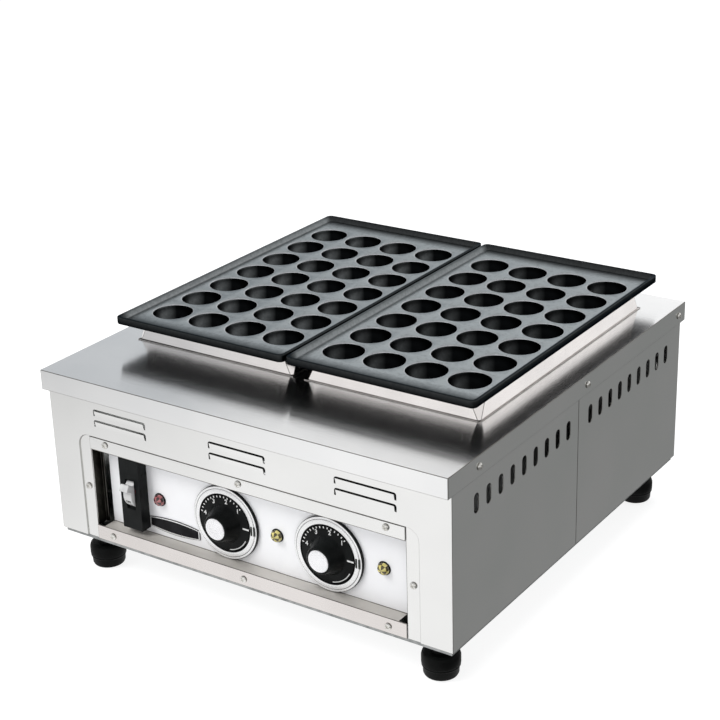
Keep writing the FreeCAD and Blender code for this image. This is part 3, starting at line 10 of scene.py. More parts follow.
import bmesh
import bpy
from mathutils import Matrix, Quaternion, Vector

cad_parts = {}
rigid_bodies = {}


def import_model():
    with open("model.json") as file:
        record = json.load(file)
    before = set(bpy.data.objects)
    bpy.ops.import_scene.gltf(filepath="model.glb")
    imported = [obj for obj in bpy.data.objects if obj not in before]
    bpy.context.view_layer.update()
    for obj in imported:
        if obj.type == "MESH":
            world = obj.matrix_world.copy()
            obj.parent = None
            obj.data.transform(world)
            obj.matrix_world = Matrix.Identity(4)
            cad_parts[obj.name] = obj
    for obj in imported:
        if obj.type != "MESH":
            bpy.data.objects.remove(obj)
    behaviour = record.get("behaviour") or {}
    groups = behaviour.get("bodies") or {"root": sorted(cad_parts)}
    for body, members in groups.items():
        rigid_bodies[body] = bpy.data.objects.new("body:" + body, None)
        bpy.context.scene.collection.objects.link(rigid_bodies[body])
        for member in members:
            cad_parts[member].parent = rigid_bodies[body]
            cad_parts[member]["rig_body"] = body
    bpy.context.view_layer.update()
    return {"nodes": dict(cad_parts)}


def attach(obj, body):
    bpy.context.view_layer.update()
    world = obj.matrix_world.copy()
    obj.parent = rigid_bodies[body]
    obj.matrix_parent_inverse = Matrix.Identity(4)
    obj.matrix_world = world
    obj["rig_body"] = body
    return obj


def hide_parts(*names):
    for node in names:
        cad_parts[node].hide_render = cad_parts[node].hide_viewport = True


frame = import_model()


def mm(*sizes):
    """Millimetres as metres: one number, or a vector of several."""
    return sizes[0] / 1000 if len(sizes) == 1 else Vector(size / 1000 for size in sizes)


def reach(node):
    """The lowest and the highest corner of a solid, in millimetres."""
    sides = list(zip(*frame["nodes"][node].bound_box))
    return [[round(end(side) * 1000, 2) for side in sides] for end in (min, max)]


def middle(node):
    """The middle of a solid, to a tenth of a millimetre."""
    return [round((low + high) / 2, 1) for low, high in zip(*reach(node))]


SIDES = ("left", "right")
COVER_TOP = reach("top_cover")[1][2]
CASING_FRONT = reach("control_panel")[0][1]
PANEL_FACE = reach("name_plate")[1][1]
DIAL_Z = middle("dial_left")[2]

# ---------------------------------------------------------------- finishes


def add(tree, kind, values=None):
    """A new shader node of a kind, with values for some of its sockets."""
    node = tree.nodes.new("ShaderNode" + kind)
    for socket, value in (values or {}).items():
        node.inputs[socket].default_value = value
    return node


def join(start, output, end, socket):
    """Links a node's output to another node's socket, each by its name or number."""
    start.id_data.links.new(start.outputs[output], end.inputs[socket])


def finish(name, metallic, dark, light, rough, patch, grain=900, depth=0.02, stretch=(1, 1, 1), shine=None):
    """A finish whose colour drifts between two tones, with a fine grain in its gloss and its relief.

    patch and grain are patterns per metre, depth is the relief in millimetres, and stretch draws the
    grain out along an axis whose share is small, as brushing does. shine sets other sockets of the shader.
    """
    made = bpy.data.materials.new(name)
    made.use_nodes = True
    tree = made.node_tree
    shader = tree.nodes["Principled BSDF"]
    for socket, value in {"Metallic": metallic, **(shine or {})}.items():
        shader.inputs[socket].default_value = value
    place = add(tree, "TexCoord")
    brushing = add(tree, "Mapping", {"Scale": stretch})
    patches = add(tree, "TexNoise", {"Scale": patch, "Detail": 3})
    grains = add(tree, "TexNoise", {"Scale": grain, "Detail": 4})
    tones = add(tree, "ValToRGB")
    for stop, position, colour in zip(tones.color_ramp.elements, (0.35, 0.65), (dark, light)):
        stop.position = position
        stop.color = (*colour, 1)
    gloss = add(tree, "MapRange", {"From Min": 0.3, "From Max": 0.7, "To Min": rough[0], "To Max": rough[1]})
    relief = add(tree, "Bump", {"Strength": 0.5, "Distance": mm(depth)})
    join(place, "Object", patches, "Vector")
    join(place, "Object", brushing, "Vector")
    join(brushing, "Vector", grains, "Vector")
    join(patches, "Fac", tones, "Fac")
    join(tones, "Color", shader, "Base Color")
    join(grains, "Fac", gloss, "Value")
    join(gloss, "Result", shader, "Roughness")
    join(grains, "Fac", relief, "Height")
    join(relief, "Normal", shader, "Normal")
    return made


def brushed(made, along):
    """Draws a finish's mirror images out along a direction, as brushing across it does."""
    shader = made.node_tree.nodes["Principled BSDF"]
    shader.inputs["Anisotropic"].default_value = 0.8
    join(add(made.node_tree, "CombineXYZ", dict(zip("XYZ", along))), "Vector", shader, "Tangent")


def led_by_painted_sheen(made):
    """Lets the mesh's painted sheen, from 0 black to 1 grey, lead the two tones, with the patches as its
    grain.
    """
    tree = made.node_tree
    tones, patches = tree.nodes["Color Ramp"], tree.nodes["Noise Texture"]
    tones.color_ramp.elements[0].position = 0
    tones.color_ramp.elements[1].position = 1
    painted_sheen = add(tree, "Attribute")
    painted_sheen.attribute_name = "painted_sheen"
    blotches = add(tree, "MapRange", {"To Min": 0.6, "To Max": 1.4})
    sheen_level = add(tree, "Math")
    sheen_level.operation = "MULTIPLY"
    join(patches, "Fac", blotches, "Value")
    join(painted_sheen, "Fac", sheen_level, 0)
    join(blotches, "Result", sheen_level, 1)
    join(sheen_level, "Value", tones, "Fac")


DULL = {"Specular IOR Level": 0.09}
GLASSY = {"Coat Weight": 0.7, "Coat Roughness": 0.05, "Specular IOR Level": 0.6}

cover_steel = finish(
    "cover_steel", 1, (0.88, 0.885, 0.89), (0.93, 0.93, 0.93), (0.14, 0.18),
    patch=9, grain=1400, depth=0.0005, stretch=(0.03, 1, 1),
)
brushed(cover_steel, (0, 1, 0))
shell_steel = finish(
    "shell_steel", 1, (0.87, 0.87, 0.86), (0.91, 0.91, 0.9), (0.17, 0.23),
    patch=9, grain=1600, depth=0.002, stretch=(0.03, 0.03, 1),
)
side_steel = finish(
    "side_steel", 1, (0.84, 0.865, 0.84), (0.89, 0.9, 0.88), (0.17, 0.23),
    patch=9, grain=1600, depth=0.002, stretch=(0.03, 0.03, 1),
)
# A dark finish for broken edges: painted shade and a painted dark reflection along folds, joints and
# outlines.
painted_edge_shade = finish(
    "painted_edge_shade", 1, (0.16, 0.15, 0.14), (0.26, 0.25, 0.23), (0.25, 0.4), patch=60, grain=1600, depth=0.004,
)
shade_steel = finish(
    "shade_steel", 1, (0.016, 0.015, 0.013), (0.05, 0.048, 0.04), (0.35, 0.5), patch=60, grain=1600,
)
panel_steel = finish(
    "panel_steel", 0.25, (0.89, 0.89, 0.905), (0.93, 0.93, 0.94), (0.4, 0.5),
    patch=12, grain=1600, depth=0.001, stretch=(0.05, 1, 1),
)
strip_steel = finish(
    "strip_steel", 1, (0.76, 0.72, 0.7), (0.82, 0.78, 0.76), (0.2, 0.28),
    patch=12, grain=1600, depth=0.002, stretch=(0.03, 1, 1),
)
ledge_steel = finish(
    "ledge_steel", 0.3, (0.47, 0.445, 0.41), (0.58, 0.555, 0.52), (0.4, 0.5),
    patch=12, grain=1200, depth=0.004, stretch=(0.03, 1, 1),
)
collar_steel = finish(
    "collar_steel", 1, (0.86, 0.82, 0.8), (0.94, 0.9, 0.88), (0.1, 0.14),
    patch=16, grain=1500, depth=0.004, stretch=(0.05, 0.05, 1),
)
screw_steel = finish(
    "screw_steel", 1, (0.72, 0.71, 0.67), (0.9, 0.89, 0.86), (0.2, 0.35), patch=300, grain=4000,
)
zinc_sheet = finish(
    "zinc_sheet", 1, (0.3, 0.31, 0.31), (0.46, 0.47, 0.47), (0.35, 0.55), patch=140, grain=500,
)
heater_sheath = finish("heater_sheath", 1, (0.2, 0.17, 0.14), (0.32, 0.29, 0.26), (0.35, 0.5), patch=60)
# The pan's two tones follow its painted sheen: grey on the plate, black in the bowls but for a painted lit
# crescent.
pan_iron = finish(
    "pan_iron", 1, (0.004, 0.0045, 0.005), (0.55, 0.589, 0.603), (0.3, 0.42),
    patch=300, depth=0.03, shine={"Specular Tint": (0.35, 0.37, 0.39, 1)},
)
led_by_painted_sheen(pan_iron)
# Bright metal on the rims of the bowls: worn edges, and also a painted highlight round each bowl.
pan_edge = finish("pan_edge", 1, (0.5, 0.52, 0.54), (0.66, 0.68, 0.71), (0.25, 0.38), patch=120)
foot_rubber = finish(
    "foot_rubber", 0, (0.0015, 0.0017, 0.0016), (0.0035, 0.004, 0.0038), (0.4, 0.6),
    patch=90, grain=1500, depth=0.03, shine=DULL,
)
black_moulding = finish(
    "black_moulding", 0, (0.005, 0.006, 0.006), (0.009, 0.01, 0.01), (0.22, 0.34),
    patch=60, grain=2600, depth=0.01, shine=DULL,
)
dial_black = finish(
    "dial_black", 0, (0.003, 0.0035, 0.0035), (0.006, 0.007, 0.007), (0.2, 0.3),
    patch=60, grain=2600, depth=0.006, shine=DULL,
)
white_moulding = finish(
    "white_moulding", 0, (0.5, 0.5, 0.5), (0.66, 0.66, 0.65), (0.22, 0.32), patch=60, grain=2600, depth=0.006,
)
white_print = finish(
    "white_print", 0, (0.6, 0.6, 0.59), (0.8, 0.8, 0.79), (0.45, 0.6), patch=400, grain=3000,
)
black_print = finish(
    "black_print", 0, (0.02, 0.022, 0.02), (0.04, 0.044, 0.04), (0.45, 0.6),
    patch=400, grain=3000, shine=DULL,
)
red_print = finish(
    "red_print", 0, (0.03, 0.004, 0.005), (0.06, 0.008, 0.009), (0.45, 0.6),
    patch=400, grain=3000, shine=DULL,
)
bezel_metal = finish(
    "bezel_metal", 0.6, (0.84, 0.84, 0.84), (0.9, 0.9, 0.9), (0.25, 0.35), patch=60, grain=2200, depth=0.002,
)
cap_metal = finish(
    "cap_metal", 0.6, (0.84, 0.84, 0.85), (0.92, 0.92, 0.93), (0.24, 0.34), patch=90, grain=2400,
)
plate_dark = finish(
    "plate_dark", 0, (0.006, 0.006, 0.007), (0.014, 0.014, 0.016), (0.3, 0.42),
    patch=90, grain=1800, shine=DULL,
)
# Each lamp's glass comes as a lit and a shaded copy, laid on the lens's facets in turn to paint their glints
# and shade.
red_glass = finish(
    "red_glass", 0, (0.26, 0.07, 0.075), (0.42, 0.15, 0.15), (0.04, 0.1), patch=300, shine=GLASSY,
)
red_shade = finish(
    "red_shade", 0, (0.016, 0.003, 0.004), (0.04, 0.006, 0.007), (0.04, 0.1), patch=300, shine=GLASSY,
)
amber_glass = finish(
    "amber_glass", 0, (0.5, 0.42, 0.1), (0.72, 0.64, 0.24), (0.04, 0.1), patch=300, shine=GLASSY,
)
amber_shade = finish(
    "amber_shade", 0, (0.035, 0.026, 0.004), (0.09, 0.065, 0.01), (0.04, 0.1), patch=300, shine=GLASSY,
)
ceramic_wool = finish(
    "ceramic_wool", 0, (0.74, 0.72, 0.66), (0.88, 0.86, 0.8), (0.85, 1), patch=120, grain=600, depth=0.8,
)
porcelain = finish("porcelain", 0, (0.8, 0.79, 0.75), (0.88, 0.87, 0.84), (0.3, 0.45), patch=120)
brass = finish("brass", 1, (0.6, 0.45, 0.2), (0.78, 0.62, 0.32), (0.22, 0.36), patch=200, grain=1800)
lead_cover = finish(
    "lead_cover", 0, (0.42, 0.42, 0.4), (0.58, 0.58, 0.56), (0.5, 0.65), patch=200, grain=1500,
)

# ---------------------------------------------------------------- workshop tools

FACING = {
    "X": ((0, 0, 1), (1, 0, 0), (0, 1, 0)),
    "-X": ((0, 0, -1), (-1, 0, 0), (0, 1, 0)),
    "Y": ((-1, 0, 0), (0, 0, 1), (0, 1, 0)),
    "-Y": ((1, 0, 0), (0, 0, -1), (0, 1, 0)),
    "Z": ((1, 0, 0), (0, 1, 0), (0, 0, 1)),
}
WELD = 0.001

# Letters are thickened by this share of their size.
STROKE = 0.02


def spot(way, x, y, z, turn=0):
    """The place of a piece made upright on the origin that is to point along way."""
    return Matrix.Translation(mm(x, y, z)) @ Matrix(FACING[way]).to_4x4() @ Matrix.Rotation(turn, 4, "Z")


def between(value, low, high):
    """How far a value is on its way from low to high, from 0 to 1."""
    return max(0, min(1, (value - low) / (high - low)))


def ease_edges(bm, width, steps=2, sharper=30, material=-1, within=None):
    """Rounds every edge that is sharper than so many degrees."""
    edges = [
        edge for edge in (within or bm.edges)
        if len(edge.link_faces) == 2 and edge.calc_face_angle() > math.radians(sharper)
    ]
    bmesh.ops.bevel(
        bm, geom=edges, offset=mm(width), offset_type="OFFSET", segments=steps, profile=0.5, affect="EDGES",
        clamp_overlap=False, material=material,
    )


def spun(points, closed=False, segments=64, ease=0):
    """A turned piece on the Z axis from its profile, given as (radius, height)."""
    bm = bmesh.new()
    line = [bm.verts.new(mm(radius, 0, height)) for radius, height in points]
    for start, end in zip(line, line[1:] + line[:1] if closed else line[1:]):
        bm.edges.new((start, end))
    bmesh.ops.spin(
        bm, geom=bm.verts[:] + bm.edges[:], cent=(0, 0, 0), axis=(0, 0, 1), angle=math.tau, steps=segments,
        use_merge=True,
    )
    bmesh.ops.remove_doubles(bm, verts=bm.verts, dist=mm(WELD))
    bmesh.ops.recalc_face_normals(bm, faces=bm.faces)
    if ease:
        ease_edges(bm, ease)
    return bm


def block(width, depth, height, x=0, foot=0):
    """A block that stands on a foot at some height, x to the right of the origin."""
    bm = bmesh.new()
    centre = Matrix.Translation(mm(x, 0, foot + height / 2))
    bmesh.ops.create_cube(bm, size=1, matrix=centre @ Matrix.Diagonal((*mm(width, depth, height), 1)))
    return bm


def lettering(text, size, thickness):
    """Raised figures in the XY plane, centred on the origin."""
    line = bpy.data.curves.new("figures", "FONT")
    line.body = text
    line.size = mm(size)
    line.offset = mm(size) * STROKE
    line.extrude = mm(thickness / 2)
    line.align_x = "CENTER"
    line.align_y = "CENTER"
    holder = bpy.data.objects.new("figures", line)
    bpy.context.scene.collection.objects.link(holder)
    bpy.context.view_layer.update()
    flat = bpy.data.meshes.new_from_object(holder.evaluated_get(bpy.context.evaluated_depsgraph_get()))
    bm = bmesh.new()
    bm.from_mesh(flat)
    bmesh.ops.remove_doubles(bm, verts=bm.verts, dist=mm(WELD))
    bpy.data.objects.remove(holder)
    bpy.data.curves.remove(line)
    bpy.data.meshes.remove(flat)
    return bm


def gathered(parts):
    """One mesh from several (mesh, place, material number) parts, each used up."""
    whole = bmesh.new()
    for bm, place, number in parts:
        if number is not None:
            for face in bm.faces:
                face.material_index = number
        bm.transform(place)
        part = bpy.data.meshes.new("part")
        bm.to_mesh(part)
        bm.free()
        whole.from_mesh(part)
        bpy.data.meshes.remove(part)
    return whole


def repeated(mesh, places):
    """One mesh from copies of a mesh, one at each place."""
    parts = []
    for place in places:
        copy = bmesh.new()
        copy.from_mesh(mesh)
        parts.append((copy, place, None))
    return gathered(parts)


def in_scene(name, bm, finishes, smooth=32):
    """An object made from a mesh, smooth but for edges that are sharper than so many degrees."""
    mesh = bpy.data.meshes.new(name)
    bm.to_mesh(mesh)
    bm.free()
    for one in finishes:
        mesh.materials.append(one)
    mesh.shade_smooth()
    mesh.set_sharp_from_angle(angle=math.radians(smooth))
    made = bpy.data.objects.new(name, mesh)
    bpy.context.scene.collection.objects.link(made)
    return made


def piece(name, bm, finishes, body, nodes=(), smooth=32):
    """Makes a finished piece from a mesh, and puts it on its body in place of the solids it stands for."""
    made = in_scene(name, bm, finishes, smooth)
    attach(made, body)
    if nodes:
        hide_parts(*nodes)
    return made


def merged(node):
    """A copy of a solid's mesh with its triangles joined up and its flat faces whole."""
    bm = bmesh.new()
    bm.from_mesh(frame["nodes"][node].data)
    bmesh.ops.remove_doubles(bm, verts=bm.verts, dist=mm(WELD))
    bmesh.ops.dissolve_limit(bm, angle_limit=math.radians(0.5), verts=bm.verts, edges=bm.edges)
    return bm


def dressed(node, name, finishes, ease, steps=2, choose=None, reshape=None):
    """A folded or moulded piece with the shape of its solid and its edges broken.

    The broken edges take the second finish, a dark one that paints shade along them, and choose picks the
    finish of each face from its middle, the way it looks and the finish it has.
    """
    bm = merged(node)
    if reshape:
        reshape(bm)
    ease_edges(bm, ease, steps, sharper=40, material=1 if len(finishes) > 1 else -1)
    if choose:
        bm.normal_update()
        for face in bm.faces:
            face.material_index = choose(face.calc_center_median() * 1000, face.normal, face.material_index)
    made = piece(name, bm, finishes, frame["nodes"][node]["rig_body"], [node])
    flats = made.modifiers.new("flats", "WEIGHTED_NORMAL")
    flats.weight = 100
    flats.keep_sharp = True


# ---------------------------------------------------------------- camera, light and worktop

camera = bpy.data.objects.new("camera", bpy.data.cameras.new("camera"))
bpy.context.scene.collection.objects.link(camera)
camera.data.sensor_width = 36
camera.data.lens = 86.139
camera.data.clip_end = 20
camera.location = mm(881.1, -1307.2, 846.1)
azimuth, height, roll = math.radians(34.514), math.radians(22.627), math.radians(-1.738)
level = math.cos(height)
view = Vector((-math.sin(azimuth) * level, math.cos(azimuth) * level, -math.sin(height)))
camera.rotation_mode = "QUATERNION"
camera.rotation_quaternion = view.to_track_quat("-Z", "Y") @ Quaternion((0, 0, 1), roll)
bpy.context.scene.camera = camera
bpy.context.scene.view_settings.view_transform = "Standard"


def soft_box(name, place, aim, size, power):
    """A square studio lamp that looks at a point. Metals don't mirror it."""
    lamp = bpy.data.objects.new(name, bpy.data.lights.new(name, "AREA"))
    lamp.data.size = size
    lamp.data.energy = power
    lamp.location = place
    lamp.rotation_mode = "QUATERNION"
    lamp.rotation_quaternion = (Vector(aim) - Vector(place)).to_track_quat("-Z", "Y")
    lamp.visible_glossy = False
    bpy.context.scene.collection.objects.link(lamp)


soft_box("key_lamp", (-1.2, -1.5, 1.9), (0, 0, 0.15), 1.1, 46)
soft_box("top_lamp", (0.2, 0.9, 2.1), (0, 0, 0.2), 1.2, 24)


def tone_ramp(tree, stops):
    """A colour ramp from (position, tone) stops, where a tone is a grey or a colour."""
    ramp = add(tree, "ValToRGB")
    elements = ramp.color_ramp.elements
    while len(elements) < len(stops):
        elements.new(0.5)
    for element, (position, tone) in zip(elements, stops):
        element.position = position
        element.color = (*tone, 1) if isinstance(tone, tuple) else (tone, tone, tone, 1)
    return ramp


def studio_room():
    """White to the eye and a soft fill for the rest, with grey walls and a ceiling that metals mirror."""
    room = bpy.data.worlds.new("room")
    bpy.context.scene.world = room
    room.use_nodes = True
    tree = room.node_tree
    tree.nodes.clear()
    direction = add(tree, "TexCoord")
    parts = add(tree, "SeparateXYZ")
    spread = add(tree, "MapRange", {"From Min": -1})
    walls = tone_ramp(tree, [
        (0, 0.95), (0.1, 0.8), (0.17, (0.54, 0.56, 0.58)), (0.195, (0.58, 0.6, 0.62)), (0.225, 0.96),
        (0.27, 1), (0.6, 1), (0.8, 0.95), (1, 0.6),
    ])
    heights = add(tree, "MapRange", {"From Min": -1})
    ceiling = tone_ramp(tree, [
        (0, 1), (0.724, 1), (0.733, 0.3), (0.746, 0.35), (0.758, 0.9), (0.8, 0.7), (0.87, 0.3), (1, 0.62),
    ])
    shaded = add(tree, "Mix")
    shaded.data_type = "RGBA"
    shaded.blend_type = "MULTIPLY"
    shaded.inputs["Factor"].default_value = 1
    light_path = add(tree, "LightPath")
    fill = add(tree, "Background", {"Color": (0.97, 0.98, 1, 1), "Strength": 0.62})
    mirrored = add(tree, "Background", {"Strength": 1.08})
    seen = add(tree, "Background", {"Color": (1, 1, 1, 1)})
    through = add(tree, "Math")
    through.operation = "MAXIMUM"
    glossy_mix = add(tree, "MixShader")
    camera_mix = add(tree, "MixShader")
    sky = add(tree, "OutputWorld")
    join(direction, "Generated", parts, "Vector")
    join(parts, "X", spread, "Value")
    join(spread, "Result", walls, "Fac")
    join(parts, "Z", heights, "Value")
    join(heights, "Result", ceiling, "Fac")
    join(walls, "Color", shaded, "A")
    join(ceiling, "Color", shaded, "B")
    join(shaded, "Result", mirrored, "Color")
    join(light_path, "Is Glossy Ray", glossy_mix, "Fac")
    join(fill, "Background", glossy_mix, 1)
    join(mirrored, "Background", glossy_mix, 2)
    join(light_path, "Is Camera Ray", through, 0)
    join(light_path, "Is Transmission Ray", through, 1)
    join(through, "Value", camera_mix, "Fac")
    join(glossy_mix, "Shader", camera_mix, 1)
    join(seen, "Background", camera_mix, 2)
    join(camera_mix, "Shader", sky, "Surface")


def worktop_finish():
    """White paper that shows soft shadows to the eye, and to the metals a painted reflection: light grey to
    the left, near white in the middle and dark grey to the right, for shade on the floor.
    """
    made = bpy.data.materials.new("worktop_finish")
    made.use_nodes = True
    tree = made.node_tree
    tree.nodes.clear()
    place = add(tree, "TexCoord")
    parts = add(tree, "SeparateXYZ")
    spread = add(tree, "MapRange", {"From Min": -1})
    tones = tone_ramp(tree, [(0, 0.5), (0.2, 0.68), (0.42, 0.96), (0.611, 0.97), (0.614, 0.24), (1, 0.22)])
    paper = add(tree, "BsdfDiffuse", {"Color": (0.8, 0.8, 0.8, 1)})
    shade = add(tree, "BsdfDiffuse", {"Color": (0.3, 0.3, 0.3, 1)})
    glow = add(tree, "Emission", {"Strength": 0.84})
    mirrored = add(tree, "Emission")
    seen = add(tree, "AddShader")
    light_path = add(tree, "LightPath")
    glossy_mix = add(tree, "MixShader")
    camera_mix = add(tree, "MixShader")
    surface = add(tree, "OutputMaterial")
    join(place, "Object", parts, "Vector")
    join(parts, "X", spread, "Value")
    join(spread, "Result", tones, "Fac")
    join(tones, "Color", mirrored, "Color")
    join(glow, "Emission", seen, 0)
    join(shade, "BSDF", seen, 1)
    join(light_path, "Is Glossy Ray", glossy_mix, "Fac")
    join(paper, "BSDF", glossy_mix, 1)
    join(mirrored, "Emission", glossy_mix, 2)
    join(light_path, "Is Camera Ray", camera_mix, "Fac")
    join(glossy_mix, "Shader", camera_mix, 1)
    join(seen, "Shader", camera_mix, 2)
    join(camera_mix, "Shader", surface, "Surface")
    return made


studio_room()
sheet = bmesh.new()
bmesh.ops.create_grid(sheet, x_segments=1, y_segments=1, size=6)
worktop_mesh = bpy.data.meshes.new("worktop")
sheet.to_mesh(worktop_mesh)
sheet.free()
worktop_mesh.materials.append(worktop_finish())
worktop = bpy.data.objects.new("worktop", worktop_mesh)
worktop.location.z = mm(-0.2)
bpy.context.scene.collection.objects.link(worktop)

# ---------------------------------------------------------------- casing

# A face looks along an axis when its normal has this share of it.
SQUARE_ON = 0.9

LOUVRE_FOOT, LOUVRE_TOP = 166, 185
FLAP_BACK = CASING_FRONT + 0.3
SLIT_FEET, SLIT_SLACK = (182.5, 171.5), 0.02
SLIT_CLOSED = 0.8

# What lies in front of STRIP_BACK is a strip, and a painted line of shade runs along the foot of the upper
# one, up to the height below.
STRIP_BACK = PANEL_FACE - 10
SHADE_LINE_TOP = 141.7

# The fold round a heater box: its height, the share of it that is left, and its width out from the wall.
BEAD_HEIGHT, BEAD_SHARE, BEAD_WIDTH, BEAD_SLACK = 2.4, 0.4, 2, 0.1
WALL_FOOT = COVER_TOP + BEAD_HEIGHT + 1


def side_faces(at, normal, finish_number):
    """Gives the third finish to the faces that look to the sides, and the first to all of a louvre's flap."""
    if at.y < FLAP_BACK and LOUVRE_FOOT < at.z < LOUVRE_TOP:
        return 0
    return 2 if finish_number == 0 and abs(normal.x) > SQUARE_ON else finish_number


def panel_faces(at, normal, finish_number):
    """Sets apart the dull ledge along the window's foot and the strips that are screwed to the casing, and
    paints a line of shade along the foot of the upper strip with the dark edge finish.
    """
    if finish_number:
        return finish_number
    if normal.z > SQUARE_ON and at.z < DIAL_Z:
        return 2
    if at.y < STRIP_BACK and normal.y < -SQUARE_ON:
        return 3 if at.z < DIAL_Z else 1 if at.z < SHADE_LINE_TOP else 4
    return 0


def part_off_shade_line(bm):
    """Parts off a thin line along the lower edge of the upper strip, for its painted shade."""
    geom = bm.verts[:] + bm.edges[:] + bm.faces[:]
    bmesh.ops.bisect_plane(bm, geom=geom, plane_co=mm(0, 0, SHADE_LINE_TOP), plane_no=(0, 0, 1))


def close_slits(bm):
    """Lifts the top edge of each louvre's flap, so that only a thin slit is left above it."""
    for vert in bm.verts:
        _, y, z = vert.co * 1000
        if y < FLAP_BACK and any(abs(z - foot) < SLIT_SLACK for foot in SLIT_FEET):
            vert.co.z += mm(SLIT_CLOSED)


def shrink_bead(bm):
    """Presses the fold round a heater box down on the cover and draws it in to the collar."""
    wall = [vert.co * 1000 for vert in bm.verts if vert.co.z > mm(WALL_FOOT)]
    limits = [
        (min(at[axis] for at in wall) - BEAD_WIDTH, max(at[axis] for at in wall) + BEAD_WIDTH)
        for axis in (0, 1)
    ]
    for vert in bm.verts:
        height = vert.co.z * 1000 - COVER_TOP
        if -BEAD_SLACK < height < BEAD_HEIGHT + BEAD_SLACK:
            vert.co.z = mm(COVER_TOP + height * BEAD_SHARE)
            for axis, (low, high) in enumerate(limits):
                vert.co[axis] = max(mm(low), min(mm(high), vert.co[axis]))


dressed(
    "top_cover", "steel_cover", [cover_steel, painted_edge_shade, side_steel], ease=0.5, steps=3,
    choose=side_faces,
)
for node, name, reshape in (("front_shell", "steel_front", close_slits), ("rear_shell", "steel_rear", None)):
    dressed(
        node, name, [shell_steel, painted_edge_shade, side_steel], ease=0.35, choose=side_faces,
        reshape=reshape,
    )
dressed(
    "control_panel", "steel_panel", [panel_steel, painted_edge_shade, ledge_steel, strip_steel, shell_steel],
    ease=0.5, choose=panel_faces, reshape=part_off_shade_line,
)
for side in SIDES:
    dressed(
        f"panel_bracket_{side}", f"steel_bracket_{side}", [shade_steel, painted_edge_shade], ease=0.25,
    )
    dressed(
        f"heater_box_{side}", f"steel_collar_{side}", [collar_steel, painted_edge_shade], ease=0.35,
        reshape=shrink_bead,
    )

# ---------------------------------------------------------------- screws

PANEL_SCREW_X, PANEL_SCREW_ROWS = 159, (149.3, 51.3)
STRIP_SCREW_X, STRIP_SCREW_Z, STRIP_FACE = 185.4, 99.5, -224.8
COVER_SIDE, COVER_SCREW_Z, COVER_SCREW_ROWS = 226.3, 205.5, (-183, 16, 218)
BACK_SCREW_X, BACK_SCREW_Z, BACK_FACE = 130, 49.5, -CASING_FRONT
HEAD_SHADE_RADIUS = 3.2
CROSS_LENGTH, CROSS_WIDTH, CROSS_FOOT, CROSS_HEIGHT = 3.8, 0.8, 1, 2.4


def screw_head():
    """The mesh of a domed head with a cross recess, standing on the origin."""
    dome = spun([(0, 0), (3.4, 0), (3.4, 0.7), (2.9, 1.5), (1.9, 2.1), (0, 2.2)], segments=28)
    # The head's steep side takes the dark edge finish, a painted outline of shade.
    for face in dome.faces:
        if face.calc_center_median().xy.length > mm(HEAD_SHADE_RADIUS):
            face.material_index = 1
    head = in_scene("head", dome, [screw_steel, painted_edge_shade])
    tool = in_scene("tool", gathered([
        (block(CROSS_LENGTH, CROSS_WIDTH, CROSS_HEIGHT, foot=CROSS_FOOT), Matrix(), 0),
        (block(CROSS_WIDTH, CROSS_LENGTH, CROSS_HEIGHT, foot=CROSS_FOOT), Matrix(), 0),
    ]), [screw_steel])
    recess = head.modifiers.new("recess", "BOOLEAN")
    recess.object = tool
    recess.solver = "EXACT"
    recess.use_self = True
    bpy.context.view_layer.update()
    cut = bpy.data.meshes.new_from_object(head.evaluated_get(bpy.context.evaluated_depsgraph_get()))
    bpy.data.objects.remove(head)
    bpy.data.objects.remove(tool)
    return cut


# Neighbouring screws are turned differently.
panel_places = [
    spot("-Y", column * PANEL_SCREW_X, CASING_FRONT, row, 0.4 * column + 0.01 * row)
    for column in (-1, 0, 1) for row in PANEL_SCREW_ROWS
]
panel_places += [
    spot("-Y", sign * STRIP_SCREW_X, STRIP_FACE, STRIP_SCREW_Z, 0.5 * sign) for sign in (-1, 1)
]
cover_places = [
    spot(way, sign * COVER_SIDE, row, COVER_SCREW_Z, 0.02 * row)
    for sign, way in ((-1, "-X"), (1, "X")) for row in COVER_SCREW_ROWS
]
back_places = [spot("Y", sign * BACK_SCREW_X, BACK_FACE, BACK_SCREW_Z, 0.3 * sign) for sign in (-1, 1)]
head_mesh = screw_head()
for part, places in (("panel", panel_places), ("cover", cover_places), ("back", back_places)):
    piece(
        f"{part}_screw_heads", repeated(head_mesh, places), [screw_steel, painted_edge_shade], "casing",
        [f"{part}_screws"],
    )

# ---------------------------------------------------------------- feet

for end in ("front", "rear"):
    for side in SIDES:
        x, y, _ = middle(f"foot_{end}_{side}")
        foot = spun([
            (0, 0), (13.5, 0), (15.3, 1), (16.2, 3), (16.6, 9.4), (17.6, 10.2), (17.6, 11), (17.2, 11.6),
            (17.9, 12.6), (17.9, 20), (17, 23), (14.5, 25), (10, 25), (10, 40.5), (4, 40.5), (4, 12), (0, 12),
        ], ease=0.5)
        piece(
            f"rubber_foot_{end}_{side}", gathered([(foot, spot("Z", x, y, 0), 0)]), [foot_rubber], "casing",
            [f"foot_{end}_{side}"],
        )

# ---------------------------------------------------------------- pans

CUP_PITCH, CUP_RADIUS, CUP_WALL, CUP_LIP = 45, 19.75, 2, 0.7
COLUMNS, ROWS = 4, 7
LAST_COLUMN, LAST_ROW = COLUMNS - 1, ROWS - 1
CUP_SEGMENTS, CUP_STEPS, UNDER_STEPS = 48, 12, 8
pan_low, pan_high = reach("pan_left")
PAN_HALF_X, PAN_HALF_Y = (pan_high[0] - pan_low[0]) / 2, (pan_high[1] - pan_low[1]) / 2
PLATE_THICK = 2.6
PLATE_TOP = reach("heater_box_left")[1][2] + PLATE_THICK
RIM_RISE = pan_high[2] - PLATE_TOP
PAN_CORNER, PAN_EASE, PAN_WELD = 5, 0.8, 0.01

